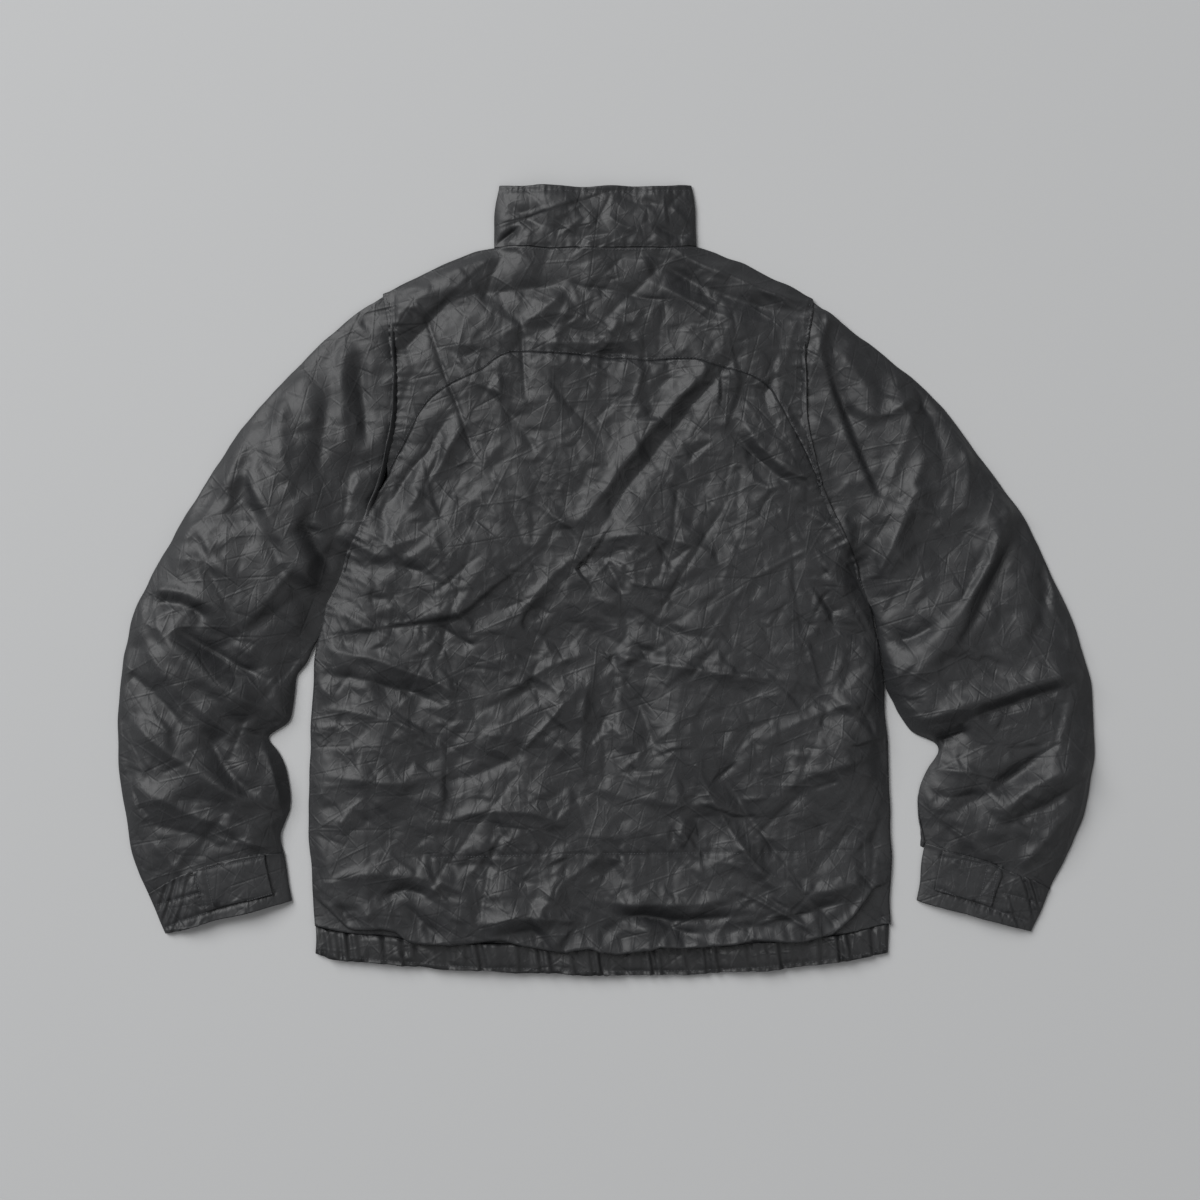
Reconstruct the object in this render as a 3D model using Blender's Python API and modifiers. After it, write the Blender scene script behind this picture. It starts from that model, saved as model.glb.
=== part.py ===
"""Windbreaker jacket laid flat on its front, back side up.

Frame: metres, +Z up, +X across the body, +Y from the hem to the collar. The origin is the middle of
the footprint, on the surface that the jacket lies on. Left and right are the wearer's, so the left
sleeve is at -X. Tables and constants are in millimetres and become metres where a mesh is made.
"""

import math

import bmesh
import bpy
from mathutils import Matrix, Vector

MM = 0.001

# Cloth
CLOTH = 1.2  # body and sleeve wall
BAND = 2.0  # doubled cloth: hem, cuffs and collar
SEAM = 0.5  # gap between two pieces at a seam
LAYER_GAP = 0.5  # gap between two layers that lie on each other

# Whole garment
CENTRE = -8.0  # x of the centre front line
HEM_HEIGHT = 28.0
HEM_FOLD = 5.0  # thickness of the folded ends of the hem
COLLAR_HEIGHT = 62.0
COLLAR_EDGE = 5.0  # thickness of the folded ends of the collar
COLLAR_TAPER = 0.05  # how much narrower the collar is at its top edge
COLLAR_SAG = 0.25  # how much lower it lies there
COLLAR_DIP = 2.5  # how far the back neck seam curves down in the middle
NECK_GAP = 1.2  # between the collar and the fronts round the neckline
FRONT_NECK_DROP = 70.0  # how much lower the front neckline hangs than the back one

# Loft: heights of the top layer over the floor
EDGE_RISE = 3.0  # top of the back panels along the side seams
TORSO_CROWN = 17.0
SLEEVE_EDGE = 4.0
HEM_CROWN = 9.5
CUFF_CROWN = 12.0
COLLAR_CROWN = 17.0
LOFT_REACH = 42.0  # how far from an edge the loft reaches its crown
LOFT_FULLNESS = 0.8  # the power of the rise: below 1 the cloth rises faster near the edge
BILLOW_DROP = 12.0  # the body cloth falls to the hem band over this length
FOLD_FADE = 20.0  # folds fade out this near to an edge

# Zip and slider
ZIP_GAP = 12.0  # between the two front edges
TAPE_WIDTH = 30.0
TAPE = 1.0
CHAIN_WIDTH = 6.0
CHAIN = 2.6
SLIDER = {"width": 8.6, "length": 11.0, "height": 5.4, "bevel": 0.8, "stop": 1.2}
SLIDER_DOWN = 12.0  # from the top of the collar to the middle of the slider
THROAT_PLAY = (0.8, 1.2)  # how much wider and higher the throat is than the chain
SLOT_PLAY = 0.7  # how much higher the slot is than the tape
BRIDGE = {"width": 2.0, "length": 7.0, "height": 2.7, "bar": 0.8, "bevel": 0.3}
PULL = {"width": 6.4, "length": 24.0, "thick": 1.1, "bevel": 0.35}
PULL_HOLD = {"pin": 1.2, "window": 5.4, "arm": 1.3, "drop": 0.25}  # the pin, and the arms beside the bridge
SINK = 0.2  # how far a united piece goes into the other
SLIDER_LIFT = 5.2  # how far the slider holds the front cloth off the floor
LIFT_CENTRE = 8.0  # from the middle of the slider down to the middle of the lifted patch
LIFT_CORE = 24.0
LIFT_REACH = 70.0
ZIP_FOOT = 3.0  # from the bottom edge of the hem to the end of the tape
TAPE_SHORT = 0.6  # the tape ends this far under the slider's stop

# Outline tables, from the hem upwards
SIDE_LEFT = {
    "x": (-290.5, -292, -296, -297, -295, -292.5, -288, -278, -265, -259),
    "y": (-344.5, -314.5, -272.5, -225.5, -160.5, -99.5, -59.5, -24.5, 5.5, 22.5),
}
SIDE_RIGHT = {
    "x": (283, 284, 285, 283.5, 281, 277, 272, 264, 256, 251),
    "y": (-344.5, -314.5, -272.5, -225.5, -160.5, -99.5, -59.5, -24.5, -1.5, 14.5),
}
SHOULDER_LEFT = {"x": (-222, -196, -163, -128, -114), "y": (285.5, 299.5, 314.5, 330, 332)}
SHOULDER_RIGHT = {"x": (206, 174, 137, 110, 92), "y": (281, 298.5, 316, 327, 332)}
ARMHOLE_BOW = 27.0  # how far the armhole curves into the body
CORNER_GAP = 5.0  # no armhole point lies nearer to the end of the yoke seam than this
NECK_CELLS = 10
SIDE_CUTS = (-284, -272, 263, 274)  # more cuts of the back panel, where its sides round over
HEM_EDGE = {
    "x": (-291, -277, -156, -6, 94, 174, 244, 282),
    "y": (-372.5, -377, -387.5, -393.5, -392.5, -387.5, -378.5, -371),
}
YOKE_SEAM = {
    "x": (-218, -208, -190, -175, -159, -139, -122, -96, -46, 14, 54, 92, 116, 153, 165, 178, 190, 214),
    "y": (103, 121, 156, 180, 192, 202, 210, 226, 225, 220, 219, 218, 212, 199, 190, 165, 142, 93),
}
BILLOW_LINE = {
    "x": (-294, -276, -246, -206, -156, -86, -6, 44, 94, 154, 199, 234, 256, 283),
    "y": (-323, -338, -350, -358, -364, -370, -372, -368, -365, -363, -357, -345, -325, -300),
}

# Sleeves, one row for each section from the armhole to the cuff: the outer end, the inner end, how far
# the section curves towards the shoulder, and the loft.
SLEEVE_COLUMNS = ("outer_x", "outer_y", "inner_x", "inner_y", "bow", "crown")
LEFT_SLEEVE = (
    (-222, 285.5, -259.6, 22.3, 27, 17),
    (-275, 246.5, -268.5, -1, 22, 18),
    (-341, 180.5, -281.5, -33, 14, 19),
    (-379.5, 130.5, -292, -62, 8, 20),
    (-424, 59, -300, -85, 3, 21),
    (-446, 20.5, -309, -95, 0, 21),
    (-473, -32.5, -310, -113, 0, 21),
    (-484, -90, -314, -141, 0, 21),
    (-488.2, -135, -338, -156, 0, 20),
    (-488.2, -170, -326, -170, 0, 20),
    (-485, -205, -317, -192, 0, 20),
    (-479.5, -242.5, -314.5, -229, 3, 19),
    (-471, -283, -325, -253, 8, 17),
    (-458, -312.5, -321, -271, 11, 14),
)
RIGHT_SLEEVE = (
    (206, 281, 251.8, 14, 27, 17),
    (239, 255.5, 260.5, -8, 16, 18),
    (299, 208, 269, -28, 16, 19),
    (334, 176.5, 275.5, -52, 11, 20),
    (369, 130.5, 279, -72, 7, 20),
    (394, 97.5, 281, -92, 4, 21),
    (419, 61.5, 283.5, -113, 2, 21),
    (439, 20.5, 289, -129, 0, 21),
    (465, -36.5, 297, -141, 0, 21),
    (482, -88.5, 309, -154.5, 0, 21),
    (487.5, -125, 328, -162, 0, 20),
    (488.2, -155, 331.5, -172, 0, 20),
    (487, -190, 320, -188, 0, 20),
    (480, -226, 312, -212, 0, 19),
    (469, -258, 311, -236, 2, 17),
    (444, -307.5, 318, -262, 4, 14),
)
TAB = 1.4  # thickness of the strap on a cuff
CUFF_SHARES = (0.35, 0.7, 1.0)  # rows of a cuff below its seam, as shares of its height
BOW_FADE = 1.5  # power by which the curve of the seam fades towards the bottom edge
# Cuffs: the two ends of the top seam and of the bottom edge, how far the seam curves, and the part of the
# cuff that its tab covers, as shares across from the outer end and down from the seam
CUFFS = {
    "left": {
        "top": ((-458, -312.5), (-321, -271)), "bottom": ((-440, -352.5), (-313, -319.5)), "bow": 11,
        "tab_across": (0.37, 0.87), "tab_down": (0.03, 0.77),
    },
    "right": {
        "top": ((444, -307.5), (318, -262)), "bottom": ((426, -350.5), (309.5, -319.5)), "bow": 4,
        "tab_across": (0.40, 0.87), "tab_down": (0.03, 0.73),
    },
}
# Largest folds of the top layers: the line of the crest, its half width and its rise
FOLDS = {
    "torso": (
        {"crest": ((136, 230.5), (60, 133), (-17, 39.5)), "width": 20, "rise": 5},
        {"crest": ((-151, 180.5), (-181, 130.5), (-201, 80.5), (-228, 45.5)), "width": 17, "rise": 5},
        {"crest": ((120, 175.5), (146, 138.5), (154, 105.5), (194, 86.5)), "width": 17, "rise": 4},
        {"crest": ((-205, 270), (-171, 292), (-126, 314)), "width": 14, "rise": 4},
        {"crest": ((94, 314), (144, 292), (188, 268)), "width": 14, "rise": 4},
        {"crest": ((120, -210), (161, -270), (186, -318)), "width": 14, "rise": 4},
    ),
    "left_sleeve": (
        {"crest": ((-357, 104), (-326, 63), (-302, 12), (-284, -22)), "width": 16, "rise": 6},
        {"crest": ((-446, -40), (-420, -75), (-381, -110), (-340, -143)), "width": 15, "rise": 6},
        {"crest": ((-480, -130), (-445, -158), (-416, -190), (-345, -222)), "width": 15, "rise": 5},
    ),
    "right_sleeve": (
        {"crest": ((404, 76), (382, 35), (358, -10), (326, -60), (291, -90)), "width": 16, "rise": 7},
        {"crest": ((326, 117), (304, 74), (282, 26), (264, 2)), "width": 15, "rise": 5},
        {"crest": ((476, -90), (434, -100), (391, -117), (335, -142)), "width": 15, "rise": 6},
        {"crest": ((478, -180), (449, -205), (415, -228), (370, -246)), "width": 15, "rise": 5},
    ),
}

MATERIALS = {
    "shell_nylon": {"colour": (0.035, 0.036, 0.040, 1), "roughness": 0.55, "metallic": 0.0},
    "zip_tape": {"colour": (0.020, 0.020, 0.022, 1), "roughness": 0.75, "metallic": 0.0},
    "zip_metal": {"colour": (0.10, 0.10, 0.11, 1), "roughness": 0.35, "metallic": 0.9},
}


def clear_scene():
    for obj in list(bpy.data.objects):
        bpy.data.objects.remove(obj, do_unlink=True)


def make_material(name, kind):
    """An object's own material, with the colour and finish of its kind."""
    spec = MATERIALS[kind]
    material = bpy.data.materials.new(name)
    material.use_nodes = True
    shader = material.node_tree.nodes["Principled BSDF"]
    shader.inputs["Base Color"].default_value = spec["colour"]
    shader.inputs["Roughness"].default_value = spec["roughness"]
    shader.inputs["Metallic"].default_value = spec["metallic"]
    return material


# Curves


def catmull(values, position):
    """The value at a fractional row of a column, on a smooth curve through all its rows."""
    last = len(values) - 1
    row = min(int(position), last - 1)
    t = position - row
    before = values[row - 1] if row > 0 else 2 * values[0] - values[1]
    after = values[row + 2] if row + 2 <= last else 2 * values[last] - values[last - 1]
    start, end = values[row], values[row + 1]
    return start + 0.5 * t * (
        (end - before)
        + t * ((2 * before - 5 * start + 4 * end - after) + t * (3 * (start - end) + after - before))
    )


def smooth_line(table, per_gap=3):
    """The points of a smooth line through a table's x and y."""
    count = (len(table["x"]) - 1) * per_gap
    return [
        (catmull(table["x"], i / per_gap), catmull(table["y"], i / per_gap)) for i in range(count + 1)
    ]


def height_at(table, x):
    """The y of a line at x, by straight steps between its rows."""
    xs, ys = table["x"], table["y"]
    if x <= xs[0]:
        return ys[0]
    for i in range(len(xs) - 1):
        if x <= xs[i + 1]:
            return ys[i] + (ys[i + 1] - ys[i]) * (x - xs[i]) / (xs[i + 1] - xs[i])
    return ys[-1]


def bowed(outer, inner, bow, share):
    """A point on the line from outer to inner, curved towards the middle of the garment."""
    along_x, along_y = inner[0] - outer[0], inner[1] - outer[1]
    length = math.hypot(along_x, along_y)
    towards = -1 if outer[0] > 0 else 1
    push = 4 * share * (1 - share) * bow * towards
    return (
        outer[0] + along_x * share - along_y / length * push,
        outer[1] + along_y * share + along_x / length * push,
    )


def armhole(side, count=10):
    """The armhole seam from the shoulder point down to the underarm."""
    row = (LEFT_SLEEVE if side == "left" else RIGHT_SLEEVE)[0]
    edge = SIDE_LEFT if side == "left" else SIDE_RIGHT
    under = (edge["x"][-1], edge["y"][-1])
    return [bowed((row[0], row[1]), under, ARMHOLE_BOW, i / count) for i in range(count + 1)]


def hem_edge(x):
    return height_at(HEM_EDGE, x)


def front_neck(side, gap=0.0, count=8):
    """Half the front neckline, from the neck point down round to the centre front, moved in by gap."""
    shoulder = SHOULDER_LEFT if side == "left" else SHOULDER_RIGHT
    sign = 1 if side == "left" else -1
    start, top = shoulder["x"][-1] + sign * gap, shoulder["y"][-1]
    width = abs(CENTRE - sign * ZIP_GAP / 2 - start)
    points = []
    for i in range(count + 1):
        turn = math.pi / 2 * i / count
        across = width * (1 - math.cos(turn))
        points.append((start + sign * across, top - (FRONT_NECK_DROP - gap) * math.sin(turn)))
    return points


def near_line(point, line):
    """How far a point is from a run of straight stretches, and how far along it as a share."""
    best, place, total = 1e9, 0.0, 0.0
    lengths = [math.dist(a, b) for a, b in zip(line, line[1:])]
    for (a, b), length in zip(zip(line, line[1:]), lengths):
        t = ((point[0] - a[0]) * (b[0] - a[0]) + (point[1] - a[1]) * (b[1] - a[1])) / length**2
        t = min(1.0, max(0.0, t))
        gap = math.hypot(point[0] - a[0] - (b[0] - a[0]) * t, point[1] - a[1] - (b[1] - a[1]) * t)
        if gap < best:
            best, place = gap, total + t * length
        total += length
    return best, place / total


# Heights


def ease(t):
    t = min(1.0, max(0.0, t))
    return t * t * (3 - 2 * t)


def loft(distance, edge, crown, reach=LOFT_REACH):
    """A rounded rise from an edge to a crown."""
    share = math.sin(math.pi / 2 * min(1.0, max(0.0, distance) / reach))
    return edge + (crown - edge) * share**LOFT_FULLNESS


def fold_rise(point, folds):
    total = 0.0
    for fold in folds:
        gap, along = near_line(point, fold["crest"])
        taper = ease(4 * along) * ease(4 * (1 - along))
        total += fold["rise"] * taper * math.exp(-((gap / fold["width"]) ** 2))
    return total


def slider_place():
    """The middle of the slider on the floor plane: at the top of the front collar."""
    return CENTRE, SHOULDER_LEFT["y"][-1] - FRONT_NECK_DROP + COLLAR_HEIGHT - SLIDER_DOWN


def slider_lift(x, y):
    """How far the slider holds the front layers up."""
    place = slider_place()
    gap = math.hypot(x - place[0], y - place[1] + LIFT_CENTRE)
    return SLIDER_LIFT * (1 - ease((gap - LIFT_CORE) / (LIFT_REACH - LIFT_CORE)))


CLOSED_EDGES = [
    smooth_line(SIDE_LEFT),
    smooth_line(SIDE_RIGHT),
    smooth_line(SHOULDER_LEFT),
    smooth_line(SHOULDER_RIGHT),
]


def torso_top(x, y):
    """The top of the back panels."""
    gap = min(near_line((x, y), line)[0] for line in CLOSED_EDGES)
    full = loft(gap, EDGE_RISE, TORSO_CROWN)
    low = loft(gap, EDGE_RISE, HEM_CROWN)
    above = ease((y - height_at(BILLOW_LINE, x)) / BILLOW_DROP)
    folds = fold_rise((x, y), FOLDS["torso"]) * min(1.0, gap / FOLD_FADE)
    return low + (full - low) * above + folds * above


# Meshes


def collection(name):
    found = bpy.data.collections.get(name)
    if found is None:
        found = bpy.data.collections.new(name)
        bpy.context.scene.collection.children.link(found)
    return found


def add_object(name, mesh, kind):
    obj = bpy.data.objects.new(name, mesh)
    collection("windbreaker").objects.link(obj)
    mesh.materials.append(make_material(name, kind))
    mesh.shade_smooth()
    return obj


def thicken(obj, wall):
    """Gives an open surface its wall, on the side away from its normals."""
    solid = obj.modifiers.new("wall", "SOLIDIFY")
    solid.thickness = wall * MM
    solid.offset = -1
    return obj


def inset_outline(points, gap):
    """A closed outline moved in by gap. The outline runs anticlockwise."""
    moved = []
    for i, here in enumerate(points):
        before, after = points[i - 1], points[(i + 1) % len(points)]
        normals = []
        for a, b in ((before, here), (here, after)):
            length = math.dist(a, b)
            normals.append(((a[1] - b[1]) / length, (b[0] - a[0]) / length))
        mean = Vector((normals[0][0] + normals[1][0], normals[0][1] + normals[1][1]))
        mean.normalize()
        sharp = max(0.5, mean.x * normals[0][0] + mean.y * normals[0][1])
        moved.append((here[0] + mean.x * gap / sharp, here[1] + mean.y * gap / sharp))
    return moved


def sheet(name, outline, top, step, side_cuts=()):
    """A panel of cloth: the outline filled, cut into cells, raised to top(x, y) and given its wall."""
    outline = inset_outline(outline, SEAM / 2)
    bm = bmesh.new()
    corners = [bm.verts.new((x, y, 0)) for x, y in outline]
    edges = [bm.edges.new((corners[i - 1], corners[i])) for i in range(len(corners))]
    bmesh.ops.contextual_create(bm, geom=edges)
    low = [min(p[k] for p in outline) for k in (0, 1)]
    high = [max(p[k] for p in outline) for k in (0, 1)]
    for axis in (0, 1):
        count = max(1, round((high[axis] - low[axis]) / step[axis]))
        lines = [low[axis] + (high[axis] - low[axis]) * i / count for i in range(1, count)]
        normal = (1, 0, 0) if axis == 0 else (0, 1, 0)
        for line in lines + (list(side_cuts) if axis == 0 else []):
            place = (line, 0, 0) if axis == 0 else (0, line, 0)
            geom = bm.faces[:] + bm.edges[:] + bm.verts[:]
            bmesh.ops.bisect_plane(bm, geom=geom, plane_co=place, plane_no=normal, dist=0.5)
    bmesh.ops.triangulate(bm, faces=bm.faces[:])
    bmesh.ops.recalc_face_normals(bm, faces=bm.faces[:])
    if sum(face.normal.z for face in bm.faces) < 0:
        bmesh.ops.reverse_faces(bm, faces=bm.faces[:])
    for vert in bm.verts:
        x, y = vert.co.x, vert.co.y
        vert.co = (x * MM, y * MM, top(x, y) * MM)
    mesh = bpy.data.meshes.new(name)
    bm.to_mesh(mesh)
    bm.free()
    return thicken(add_object(name, mesh, "shell_nylon"), CLOTH)


def grid_surface(name, rows, closed, wall, kind="shell_nylon"):
    """A wall on rows of points. Each row runs once round or along a section, and closed joins its ends."""
    bm = bmesh.new()
    made = [[bm.verts.new([value * MM for value in point]) for point in row] for row in rows]
    width = len(rows[0])
    for upper, lower in zip(made, made[1:]):
        for i in range(width if closed else width - 1):
            j = (i + 1) % width
            bm.faces.new((upper[i], upper[j], lower[j], lower[i]))
    bmesh.ops.recalc_face_normals(bm, faces=bm.faces[:])
    highest = max(bm.faces, key=lambda face: face.calc_center_median().z)
    if highest.normal.z < 0:
        bmesh.ops.reverse_faces(bm, faces=bm.faces[:])
    bmesh.ops.triangulate(bm, faces=bm.faces[:])
    mesh = bpy.data.meshes.new(name)
    bm.to_mesh(mesh)
    bm.free()
    return thicken(add_object(name, mesh, kind), wall)


def ring_shares(top_cells, bottom_cells):
    """Places round a flattened section: (share across, layer), along the top and back along the bottom."""
    top = [(0.5 - 0.5 * math.cos(math.pi * i / top_cells), "top") for i in range(top_cells + 1)]
    bottom = [(1 - i / bottom_cells, "bottom") for i in range(bottom_cells + 1)]
    return top[:1] + top[1:-1] + top[-1:] + bottom


def section(outer, inner, bow, crown, edge, folds=(), cells=(11, 6)):
    """A flattened tube's section: a crowned top layer, a flat bottom layer, and a round fold at each end."""
    width = math.dist(outer, inner)
    radius = edge / 2
    points = []
    for share, layer in ring_shares(*cells):
        across = radius / width + share * (1 - 2 * radius / width)
        x, y = bowed(outer, inner, bow, across)
        gap = min(across, 1 - across) * width - radius
        if layer == "top":
            rise = fold_rise((x, y), folds) * min(1.0, gap / FOLD_FADE)
            points.append((x, y, loft(gap, edge, crown) + rise))
        else:
            points.append((x, y, 0.0))
    folds_at = []
    for share in (0.0, 1.0):
        x, y = bowed(outer, inner, bow, share)
        folds_at.append((x, y, radius))
    top_count = cells[0] + 1
    return points[:top_count] + [folds_at[1]] + points[top_count:] + [folds_at[0]]


def sleeve(name, table):
    """A one-piece sleeve: a flattened tube through the sections of its table."""
    per_gap = 2
    columns = {key: [row[i] for row in table] for i, key in enumerate(SLEEVE_COLUMNS)}
    rows = []
    for i in range((len(table) - 1) * per_gap + 1):
        at = {key: catmull(column, i / per_gap) for key, column in columns.items()}
        outer, inner = (at["outer_x"], at["outer_y"]), (at["inner_x"], at["inner_y"])
        rows.append(section(outer, inner, at["bow"], at["crown"], SLEEVE_EDGE, folds=FOLDS[name]))
    first = [Vector(a) + (Vector(b) - Vector(a)).normalized() * SEAM for a, b in zip(rows[0], rows[1])]
    return grid_surface(name, [first] + rows[1:], True, CLOTH)


def cuff_row(side, share):
    """The outer end, the inner end and the bow of a cuff's section, at a share of the way down."""
    ends = CUFFS[side]
    outer, inner = (
        tuple(a + (b - a) * share for a, b in zip(ends["top"][k], ends["bottom"][k])) for k in (0, 1)
    )
    return outer, inner, ends["bow"] * (1 - share) ** BOW_FADE


def cuff(side):
    height = math.dist(CUFFS[side]["top"][0], CUFFS[side]["bottom"][0])
    rows = []
    for share in (SEAM / height, *CUFF_SHARES):
        outer, inner, bow = cuff_row(side, share)
        rows.append(section(outer, inner, bow, CUFF_CROWN, SLEEVE_EDGE, cells=(9, 5)))
    return grid_surface(f"{side}_cuff", rows, True, BAND)


def cuff_tab(side):
    """The flat strap that is sewn on the back of a cuff."""
    across, down = CUFFS[side]["tab_across"], CUFFS[side]["tab_down"]
    row_cells, cells = 4, 6
    rows = []
    for i in range(row_cells + 1):
        outer, inner, bow = cuff_row(side, down[0] + (down[1] - down[0]) * i / row_cells)
        width = math.dist(outer, inner)
        row = []
        for j in range(cells + 1):
            share = across[0] + (across[1] - across[0]) * j / cells
            x, y = bowed(outer, inner, bow, share)
            rest = loft(min(share, 1 - share) * width - SLEEVE_EDGE / 2, SLEEVE_EDGE, CUFF_CROWN)
            row.append((x, y, rest + LAYER_GAP + TAB))
        rows.append(row)
    return grid_surface(f"{side}_cuff_tab", rows, False, TAB)


def hem_ring(cells=(22, 6)):
    """The hem band's places from the left front edge, over the back, to the right front edge: (x, z)."""
    left, right = HEM_EDGE["x"][0], HEM_EDGE["x"][-1]
    radius = HEM_FOLD / 2
    edges = {"left": CENTRE - ZIP_GAP / 2, "right": CENTRE + ZIP_GAP / 2}
    over = []
    for i in range(cells[0] + 1):
        x = left + radius + (right - left - 2 * radius) * (0.5 - 0.5 * math.cos(math.pi * i / cells[0]))
        over.append((x, loft(min(x - left, right - x) - radius, HEM_FOLD, HEM_CROWN)))
    under = {"left": [], "right": []}
    for i in range(cells[1] + 1):
        share = i / cells[1]
        under["left"].append((edges["left"] + (left + radius - edges["left"]) * share, 0.0))
        under["right"].append((right - radius + (edges["right"] - right + radius) * share, 0.0))
    return under["left"] + [(left, radius)] + over + [(right, radius)] + under["right"]


def hem_band():
    """The hem: a doubled band round the bottom, open at the centre front."""
    rows = []
    for share in (0.0, 0.5, 1.0):
        rows.append([(x, hem_edge(x) + share * (HEM_HEIGHT - SEAM), z) for x, z in hem_ring()])
    return grid_surface("hem_band", rows, False, BAND)


def collar_foot(x):
    """The y of the back neck seam at x."""
    left, right = SHOULDER_LEFT["x"][-1], SHOULDER_RIGHT["x"][-1]
    share = (x - left) / (right - left)
    return SHOULDER_LEFT["y"][-1] - COLLAR_DIP * math.sin(math.pi * min(1.0, max(0.0, share)))


def collar_ring():
    """The foot of the collar from its left front edge, over the back, to the right: (x, y, z, layer)."""
    radius = COLLAR_EDGE / 2
    left, right = SHOULDER_LEFT["x"][-1] + NECK_GAP, SHOULDER_RIGHT["x"][-1] - NECK_GAP
    width, cells = right - left - 2 * radius, 16
    over = []
    for i in range(cells + 1):
        x = left + radius + width * (0.5 - 0.5 * math.cos(math.pi * i / cells))
        height = loft(min(x - left, right - x) - radius, COLLAR_EDGE, COLLAR_CROWN)
        over.append((x, collar_foot(x) + SEAM, height))
    under = {
        side: [(x, y + SEAM, 0.0) for x, y in front_neck(side, NECK_GAP)[1:]] for side in ("left", "right")
    }
    top = SHOULDER_LEFT["y"][-1] + SEAM
    ring = [(*p, "under") for p in under["left"][::-1]] + [(left, top, radius, "fold")]
    ring += [(*p, "over") for p in over] + [(right, top, radius, "fold")]
    return ring + [(*p, "under") for p in under["right"]]


def collar():
    """The stand collar: a flattened band, whose front halves hang lower and meet at the zip."""
    ring = collar_ring()
    middle = (SHOULDER_LEFT["x"][-1] + SHOULDER_RIGHT["x"][-1]) / 2
    rows = []
    for share in (0.0, 0.33, 0.66, 1.0):
        late = ease(share * 2 - 1)
        row = []
        for x, y, z, layer in ring:
            x += (middle - x) * COLLAR_TAPER * late
            y += share * (COLLAR_HEIGHT - SEAM)
            lift = slider_lift(x, y) if layer == "under" else 0.0
            sag = 1 - COLLAR_SAG * late if layer == "over" else 1.0
            row.append((x, y, z * sag + lift))
        rows.append(row)
    return grid_surface("collar", rows, False, BAND)


# Panels


def joined(*lines):
    """Lines run together into one outline, without doubled points."""
    outline = []
    for line in lines:
        for point in line:
            if not outline or math.dist(point, outline[-1]) > 1.0:
                outline.append(point)
    if math.dist(outline[0], outline[-1]) < 1.0:
        outline.pop()
    return outline


def split_line(line, height, keep):
    """The part of an armhole line above or below a height."""
    if keep == "above":
        return [p for p in line if p[1] > height]
    return [p for p in line if p[1] < height]


def hem_seam(left, right, count):
    """The seam between the body and the hem band, from x left to x right."""
    return [
        (left + (right - left) * i / count, hem_edge(left + (right - left) * i / count) + HEM_HEIGHT)
        for i in range(count + 1)
    ]


def back_yoke():
    seam = smooth_line(YOKE_SEAM, 2)
    left = split_line(armhole("left"), seam[0][1] + CORNER_GAP, "above")
    right = split_line(armhole("right"), seam[-1][1] + CORNER_GAP, "above")
    neck_width = SHOULDER_RIGHT["x"][-1] - SHOULDER_LEFT["x"][-1]
    neck_xs = [SHOULDER_RIGHT["x"][-1] - neck_width * i / NECK_CELLS for i in range(1, NECK_CELLS)]
    neck = [(x, collar_foot(x)) for x in neck_xs]
    outline = joined(
        seam, right[::-1], smooth_line(SHOULDER_RIGHT, 1), neck, smooth_line(SHOULDER_LEFT, 1)[::-1], left
    )
    return sheet("back_yoke", outline, torso_top, (26, 21))


def back_panel():
    seam = smooth_line(YOKE_SEAM, 2)
    left = split_line(armhole("left"), seam[0][1] - CORNER_GAP, "below")
    right = split_line(armhole("right"), seam[-1][1] - CORNER_GAP, "below")
    hem = hem_seam(SIDE_LEFT["x"][0], SIDE_RIGHT["x"][0], 18)
    outline = joined(
        hem, smooth_line(SIDE_RIGHT, 1), right[::-1], seam[::-1], left, smooth_line(SIDE_LEFT, 1)[::-1]
    )
    return sheet("back_panel", outline, torso_top, (27, 28), SIDE_CUTS)


def front(side):
    """One front: it lies flat on the floor, under the back, and the slider holds up its neck corner."""
    neck = front_neck(side)
    edge_x = neck[-1][0]
    left = side == "left"
    seam_cells = 6
    hem = hem_seam(*((SIDE_LEFT["x"][0], edge_x) if left else (edge_x, SIDE_RIGHT["x"][0])), seam_cells)
    foot = hem[-1][1] if left else hem[0][1]
    centre = [(edge_x, foot + (neck[-1][1] - foot) * i / seam_cells) for i in range(1, seam_cells)]
    shoulder = smooth_line(SHOULDER_LEFT if left else SHOULDER_RIGHT, 1)[::-1]
    side_edge = smooth_line(SIDE_LEFT if left else SIDE_RIGHT, 1)[::-1]
    up_and_round = (centre, neck[::-1], shoulder, armhole(side), side_edge)
    if left:
        outline = joined(hem, *up_and_round)
    else:
        outline = joined(hem, *(line[::-1] for line in up_and_round[::-1]))
    return sheet(f"{side}_front", outline, lambda x, y: CLOTH + slider_lift(x, y), (58, 44))


# Zip


def zip_ends():
    """The y of the zip's lower and upper end."""
    low = hem_edge(CENTRE) + ZIP_FOOT
    high = slider_place()[1] + SLIDER["stop"] - TAPE_SHORT
    return low, high


def tape_bottom():
    return BAND + LAYER_GAP


def strip(name, half_width, bottom, wall):
    """A flat strip along the centre front, that follows the lift by the slider."""
    low, high = zip_ends()
    count = 40
    rows = []
    for i in range(count + 1):
        y = low + (high - low) * i / count
        z = bottom + wall + slider_lift(CENTRE, y)
        rows.append([(CENTRE + half_width * k, y, z) for k in (-1, 1)])
    return grid_surface(name, rows, False, wall, "zip_tape")


def zip_tape():
    """The woven tape of both zip halves, inside the fronts, with the closed chain on its outer face."""
    tape = strip("zip_tape", TAPE_WIDTH / 2, tape_bottom(), TAPE)
    chain = strip("chain", CHAIN_WIDTH / 2, tape_bottom() + TAPE - CHAIN + SINK, CHAIN)
    return unite(tape, chain)


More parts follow.
